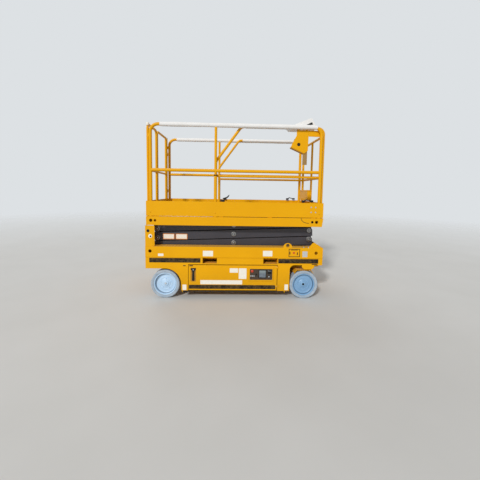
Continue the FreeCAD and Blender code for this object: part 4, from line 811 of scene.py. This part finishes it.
# aluminium tread plate, rolled: pale grey and dull, darker and rougher in clouds of dirt
tread_plate, tree, shader, spot = new_finish("rolled_tread_plate",
                                             {"Metallic": 0.85, "Roughness": 0.45})
dirt = noise(tree, spot, 0.08, 7.0, 0.7)
dress(tree, shader, mix(tree, ramp(tree, dirt, 0.35, 0.7), "#a7a7a4", "#7a756b"),
      ramp(tree, dirt, first=0.35, last=0.65))

lozenge_faces = ((0, 1, 4), (1, 5, 4), (1, 2, 5), (2, 3, 5), (3, 4, 5), (3, 0, 4), (3, 2, 1, 0))


def tread(form, x_span, y_spans, z, pitch=0.034):
    """Raised lozenges 24 mm long in alternating directions, as on rolled plate."""
    for row in range(int((y_spans[-1][1] - y_spans[0][0]) / pitch)):
        y = y_spans[0][0] + pitch * (row + 0.5)
        if not any(low + 0.014 < y < high - 0.014 for low, high in y_spans):
            continue
        for k in range(int((x_span[1] - x_span[0]) / pitch)):
            turn = math.radians(45 if (k + row) % 2 else -45)
            along = Vector((math.cos(turn), math.sin(turn), 0)) * 0.012
            across = Vector((-math.sin(turn), math.cos(turn), 0)) * 0.0035
            centre = Vector((x_span[0] + pitch * (k + 0.5), y, z))
            corners = [form.verts.new(centre + way) for way in (along, across, -along, -across)]
            corners += [form.verts.new(centre + way + Vector((0, 0, 0.0012)))
                        for way in (along * 0.35, -along * 0.35)]
            for group in lozenge_faces:
                form.faces.new([corners[i] for i in group])


form = bmesh.new()
slab(form, (-1.150, -0.553, deck_top - 0.0004), (1.155, 0.553, deck_top), 0.0001, 1)
tread(form, (-1.13, 1.15), ((-0.530, -0.445), (-0.395, 0.395), (0.445, 0.530)), deck_top - 0.0001)
piece("deck_tread", form, tread_plate, "platform", 20)
form = bmesh.new()
for side in (-1, 1):
    for x in (1.001, 1.061):
        for z in (1.1745, 1.240):
            hex_head(form, (x, side * 0.579, z), 0.011, 0.0055, (0, side, 0))
piece("toe_board_bolts", form, zinc, "platform")


# Guard rails
# Bent steel tube hoops stand in sockets on the deck, held by pins. White foam sleeves are slit and
# pushed over the top rails.
# closed-cell polyethylene foam: white and matt, finely pitted, slightly soiled where hands hold it
white_foam, tree, shader, spot = new_finish("polyethylene_foam", {
    "Roughness": 0.9, "Subsurface Weight": 0.08, "Subsurface Radius": (0.01, 0.01, 0.01),
    "Sheen Weight": 0.15})
dress(tree, shader, mix(tree, noise(tree, spot, 0.07, 6.0, 0.65), "#f6f5f3", "#e3e0db"))
# foam cells are 0.6 mm; drawn at 3 mm
relieve(tree, shader, grains(tree, spot, 0.003), 0.25, 0.0008)

random.seed(7)
sleeve_span = (-0.982, 1.052)
sleeve_cuts = (sleeve_span[0], -0.34, 0.32, sleeve_span[1])
sleeve_rows = 150
sleeve_radius = 0.0288
tube_radius = 0.0212
bend_start = 1.008
bend_radius = 0.100
angles = [k * math.tau / 24 for k in range(24)]


def around_rail(form, middle, lean, side, radii):
    """A row of corners round the rail at (x, z) middle, one for each angle and its radius."""
    return [form.verts.new((middle[0] + r * math.sin(angle) * math.sin(lean),
                            side * rail_y + r * math.cos(angle),
                            middle[1] + r * math.sin(angle) * math.cos(lean)))
            for angle, r in zip(angles, radii)]


for side, mark in sides:
    form = bmesh.new()
    rows = []
    waves = [random.uniform(0, math.tau) for _ in range(3)]
    for i in range(sleeve_rows + 1):
        x = sleeve_span[0] + (sleeve_span[1] - sleeve_span[0]) * i / sleeve_rows
        swell = 0.0007 * math.sin(x * 9 + waves[0]) + 0.0006 * math.sin(x * 23 + waves[1])
        # the foam is cut from three lengths, and pulls in at each butt joint and each end
        joint = min(abs(x - cut) for cut in sleeve_cuts)
        pinch = 0.0032 * math.exp(-(joint / 0.008) ** 2)
        # past the straight the sleeve leans over with the rail's bend
        lean = max(0.0, x - bend_start) / bend_radius
        middle = (min(x, bend_start) + bend_radius * math.sin(lean),
                  rail_z - bend_radius * (1 - math.cos(lean)))
        # the slit along the underside opens slightly
        slit_angle = 1.5 * math.pi - 0.12 * math.sin(x * 4)
        rows.append(around_rail(form, middle, lean, side, [
            sleeve_radius + swell - pinch - 0.0030 * math.exp(-((angle - slit_angle) / 0.16) ** 2)
            for angle in angles]))
    for first, second in zip(rows, rows[1:]):
        stitch(form, first, second)
    # cut ends close round the tube
    for row, centre, turn in ((rows[0], (sleeve_span[0], rail_z), 0.0), (rows[-1], middle, lean)):
        ring = around_rail(form, centre, turn, side, [tube_radius] * len(angles))
        stitch(form, row, ring)
        form.faces.new(ring)
    sleeve = piece("foam_sleeve_" + mark, form, white_foam, "platform", 60)
    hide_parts("rail_sleeves")

# sockets and pins at the foot of each post, end caps and joint collars
mid_post = -0.266
form = bmesh.new()
caps = bmesh.new()
pins = bmesh.new()
for side in (-1, 1):
    y = side * rail_y
    for x in (-1.105, mid_post, 1.108):
        upright(form, x, y, deck_top + 0.0003, 1.180, 0.0245, 0.0015)
        upright(form, x, y, deck_top, 1.1035, 0.030, 0.0015)
        hex_head(pins, (x, side * 0.5785, 1.150), 0.010, 0.005, (0, side, 0))
    upright(caps, mid_post, y, 1.634, 1.648, 0.0235)
    disc(pins, mid_post, 1.665, side * 0.530, side * 0.579, 0.004, 0.001, 12)
piece("post_sockets", form, yellow_coat, "platform")
piece("post_collars", caps, black_oxide, "platform")
piece("post_pins", pins, yellow_coat, "platform")

# folding pins: each side's rails fold down after these black latches are turned
levers = (((-0.205, 1.306), (-0.128, 1.334), 0.0065), ((-0.150, 1.318), (-0.090, 1.372), 0.0060),
          ((0.885, 1.312), (0.945, 1.340), 0.0075), ((0.945, 1.338), (1.030, 1.316), 0.0065))
latch_y = 0.5450
form = bmesh.new()
for side in (-1, 1):
    y = side * latch_y
    for start, end, r in levers:
        bar(form, (start[0], y, start[1]), (end[0], y, end[1]), r, 0.0015, 12)
    for x, z in ((-0.166, 1.312), (0.905, 1.318), (1.010, 1.322)):
        slab(form, (x - 0.022, side * 0.5340, z - 0.016), (x + 0.022, side * 0.5560, z + 0.012),
             0.003)
piece("rail_latches", form, black_nylon, "platform")
# a drain hose is clipped along the beam's face
hose = [(0.868, 1.096), (0.873, 1.076), (0.888, 1.056), (0.912, 1.041), (0.942, 1.032),
        (0.974, 1.029)]
hose_radius = 0.0042
hose_y = 0.5826
form = bmesh.new()
for side in (-1, 1):
    y = side * hose_y
    for first, second in zip(hose, hose[1:]):
        bar(form, (first[0], y, first[1]), (second[0], y, second[1]), hose_radius, 0, 8)
piece("drain_hose", form, black_nylon, "platform")

# moulded white caps on the rear frame's corner posts
form = bmesh.new()
for y, low_z in ((-0.540, 2.262), (0.507, 2.276)):
    upright(form, -1.142, y, low_z, 2.299, 0.0185, 0.004)
piece("rear_post_caps", form, label_vinyl, "platform")


# Extension
# A second deck rolls out over the front; its rails slide beside the main ones, and their top tubes
# are wrapped in thin white foam.
form = bmesh.new()
slab(form, (-0.290, -0.512, inner_deck_top - 0.0004), (1.162, 0.512, inner_deck_top), 0.0001, 1)
tread(form, (-0.28, 1.12), ((-0.470, 0.470),), inner_deck_top - 0.0001)
piece("extension_tread", form, tread_plate, "extension", 20)
form = bmesh.new()
grips = bmesh.new()
for side in (-1, 1):
    y = side * inner_rail_y
    upright(form, mid_post, y, inner_deck_top, 1.122, 0.026, 0.0015)
    upright(form, 1.150, y, inner_deck_top, 1.122, 0.0255, 0.0015)
    bar(grips, (0.118, y, rail_z), (0.985, y, rail_z), 0.0226, 0.002)
piece("extension_sockets", form, yellow_coat, "extension")
wraps = piece("extension_foam_wraps", grips, white_foam, "extension")


# Control station
# The platform controls sit in a moulded box in a pale shell on the top rail, behind a folded
# yellow guard; buttons, a rocker and a stop are on its sloping face.
# pale ABS shell, moulded: warm off-white with a low gloss
shell_abs = mottled("pale_abs_shell", {"Roughness": 0.4, "IOR": 1.54}, 0.05, 5.0, 0.6,
                    "#f4f3f1", "#e2dfd9")
paint(["control_box"], shell_abs)
paint(["document_box"], yellow_coat)
face_start = Vector((0.682, -0.410, 2.294))
rising = Vector((0.296, 0, 0.120)).normalized()
face_up = Vector((-rising.z, 0, rising.x))


def button(form, along, across, low, high, radius, ease, around=24):
    """A round form standing on the sloping face, placed along its rise and across it."""
    foot = face_start + rising * along + Vector((0, across, 0))
    bar(form, foot + face_up * low, foot + face_up * high, radius, ease, around)


form = bmesh.new()
for k in range(4):
    button(form, 0.060 + 0.030 * k, -0.030, -0.002, 0.004, 0.009, 0.0015)
button(form, 0.200, 0.010, -0.002, 0.005, 0.024, 0.002, 28)
button(form, 0.200, 0.010, 0.004, 0.009, 0.015, 0.003, 28)
piece("station_keys", form, black_nylon, "extension")
form = bmesh.new()
button(form, 0.150, 0.045, -0.002, 0.006, 0.011, 0.001)
button(form, 0.150, 0.045, 0.005, 0.011, 0.0175, 0.003)
piece("station_stop", form, red_abs, "extension")
form = bmesh.new()
sheet_cut(form, [(0.899, 2.317), (0.957, 2.3215), (1.012, 2.334), (0.999, 2.363), (0.985, 2.358)],
          -0.4815, -0.4821)
piece("station_shadow_gaps", form, black_nylon, "extension")
# the cable box hangs inside the guard, dark behind its hole
form = bmesh.new()
slab(form, (0.776, -0.514, 2.012), (0.928, -0.410, 2.146), 0.006, 3)
piece("station_cable_box", form, black_nylon, "extension")
# the guard's upper plate runs on to the front post
form = bmesh.new()
sheet_cut(form, [(0.792, 2.2240), (0.946, 2.2240), (0.948, 2.168), (1.127, 2.164), (1.127, 2.243),
                 (0.792, 2.246)], -0.5243, -0.5190)
piece("guard_upper_plate", form, yellow_coat, "extension")
# the guard's lower edge is folded under, and browned there as painted shade
form = bmesh.new()
sheet_cut(form, [(0.7165, 2.0285), (0.8940, 1.9505), (0.9330, 1.9730), (0.9340, 1.9640),
                 (0.8930, 1.9390), (0.7160, 2.0160)], -0.5230, -0.4600)
piece("guard_lip", form, cup_shade, "extension")
# tan finish: pale flecks in brown
tan_sheet_finish, tree, shader, spot = new_finish("tan_flecked_finish", {"Roughness": 0.85})
# flecks lie 4 mm apart
dress(tree, shader, mix(tree, grains(tree, spot, 0.004), "#8a6a3a", "#b08d55"))
# a tan sheet hangs below the guard
form = bmesh.new()
slab(form, (0.876, -0.5172, 1.800), (0.936, -0.5140, 1.992), 0.0014)
piece("hanging_tan_sheet", form, tan_sheet_finish, "extension")
form = bmesh.new()
slab(form, (1.0930, -0.016, 1.452), (1.1385, 0.442, 1.4722), 0.004)
piece("document_box_lid", form, yellow_coat, "extension")
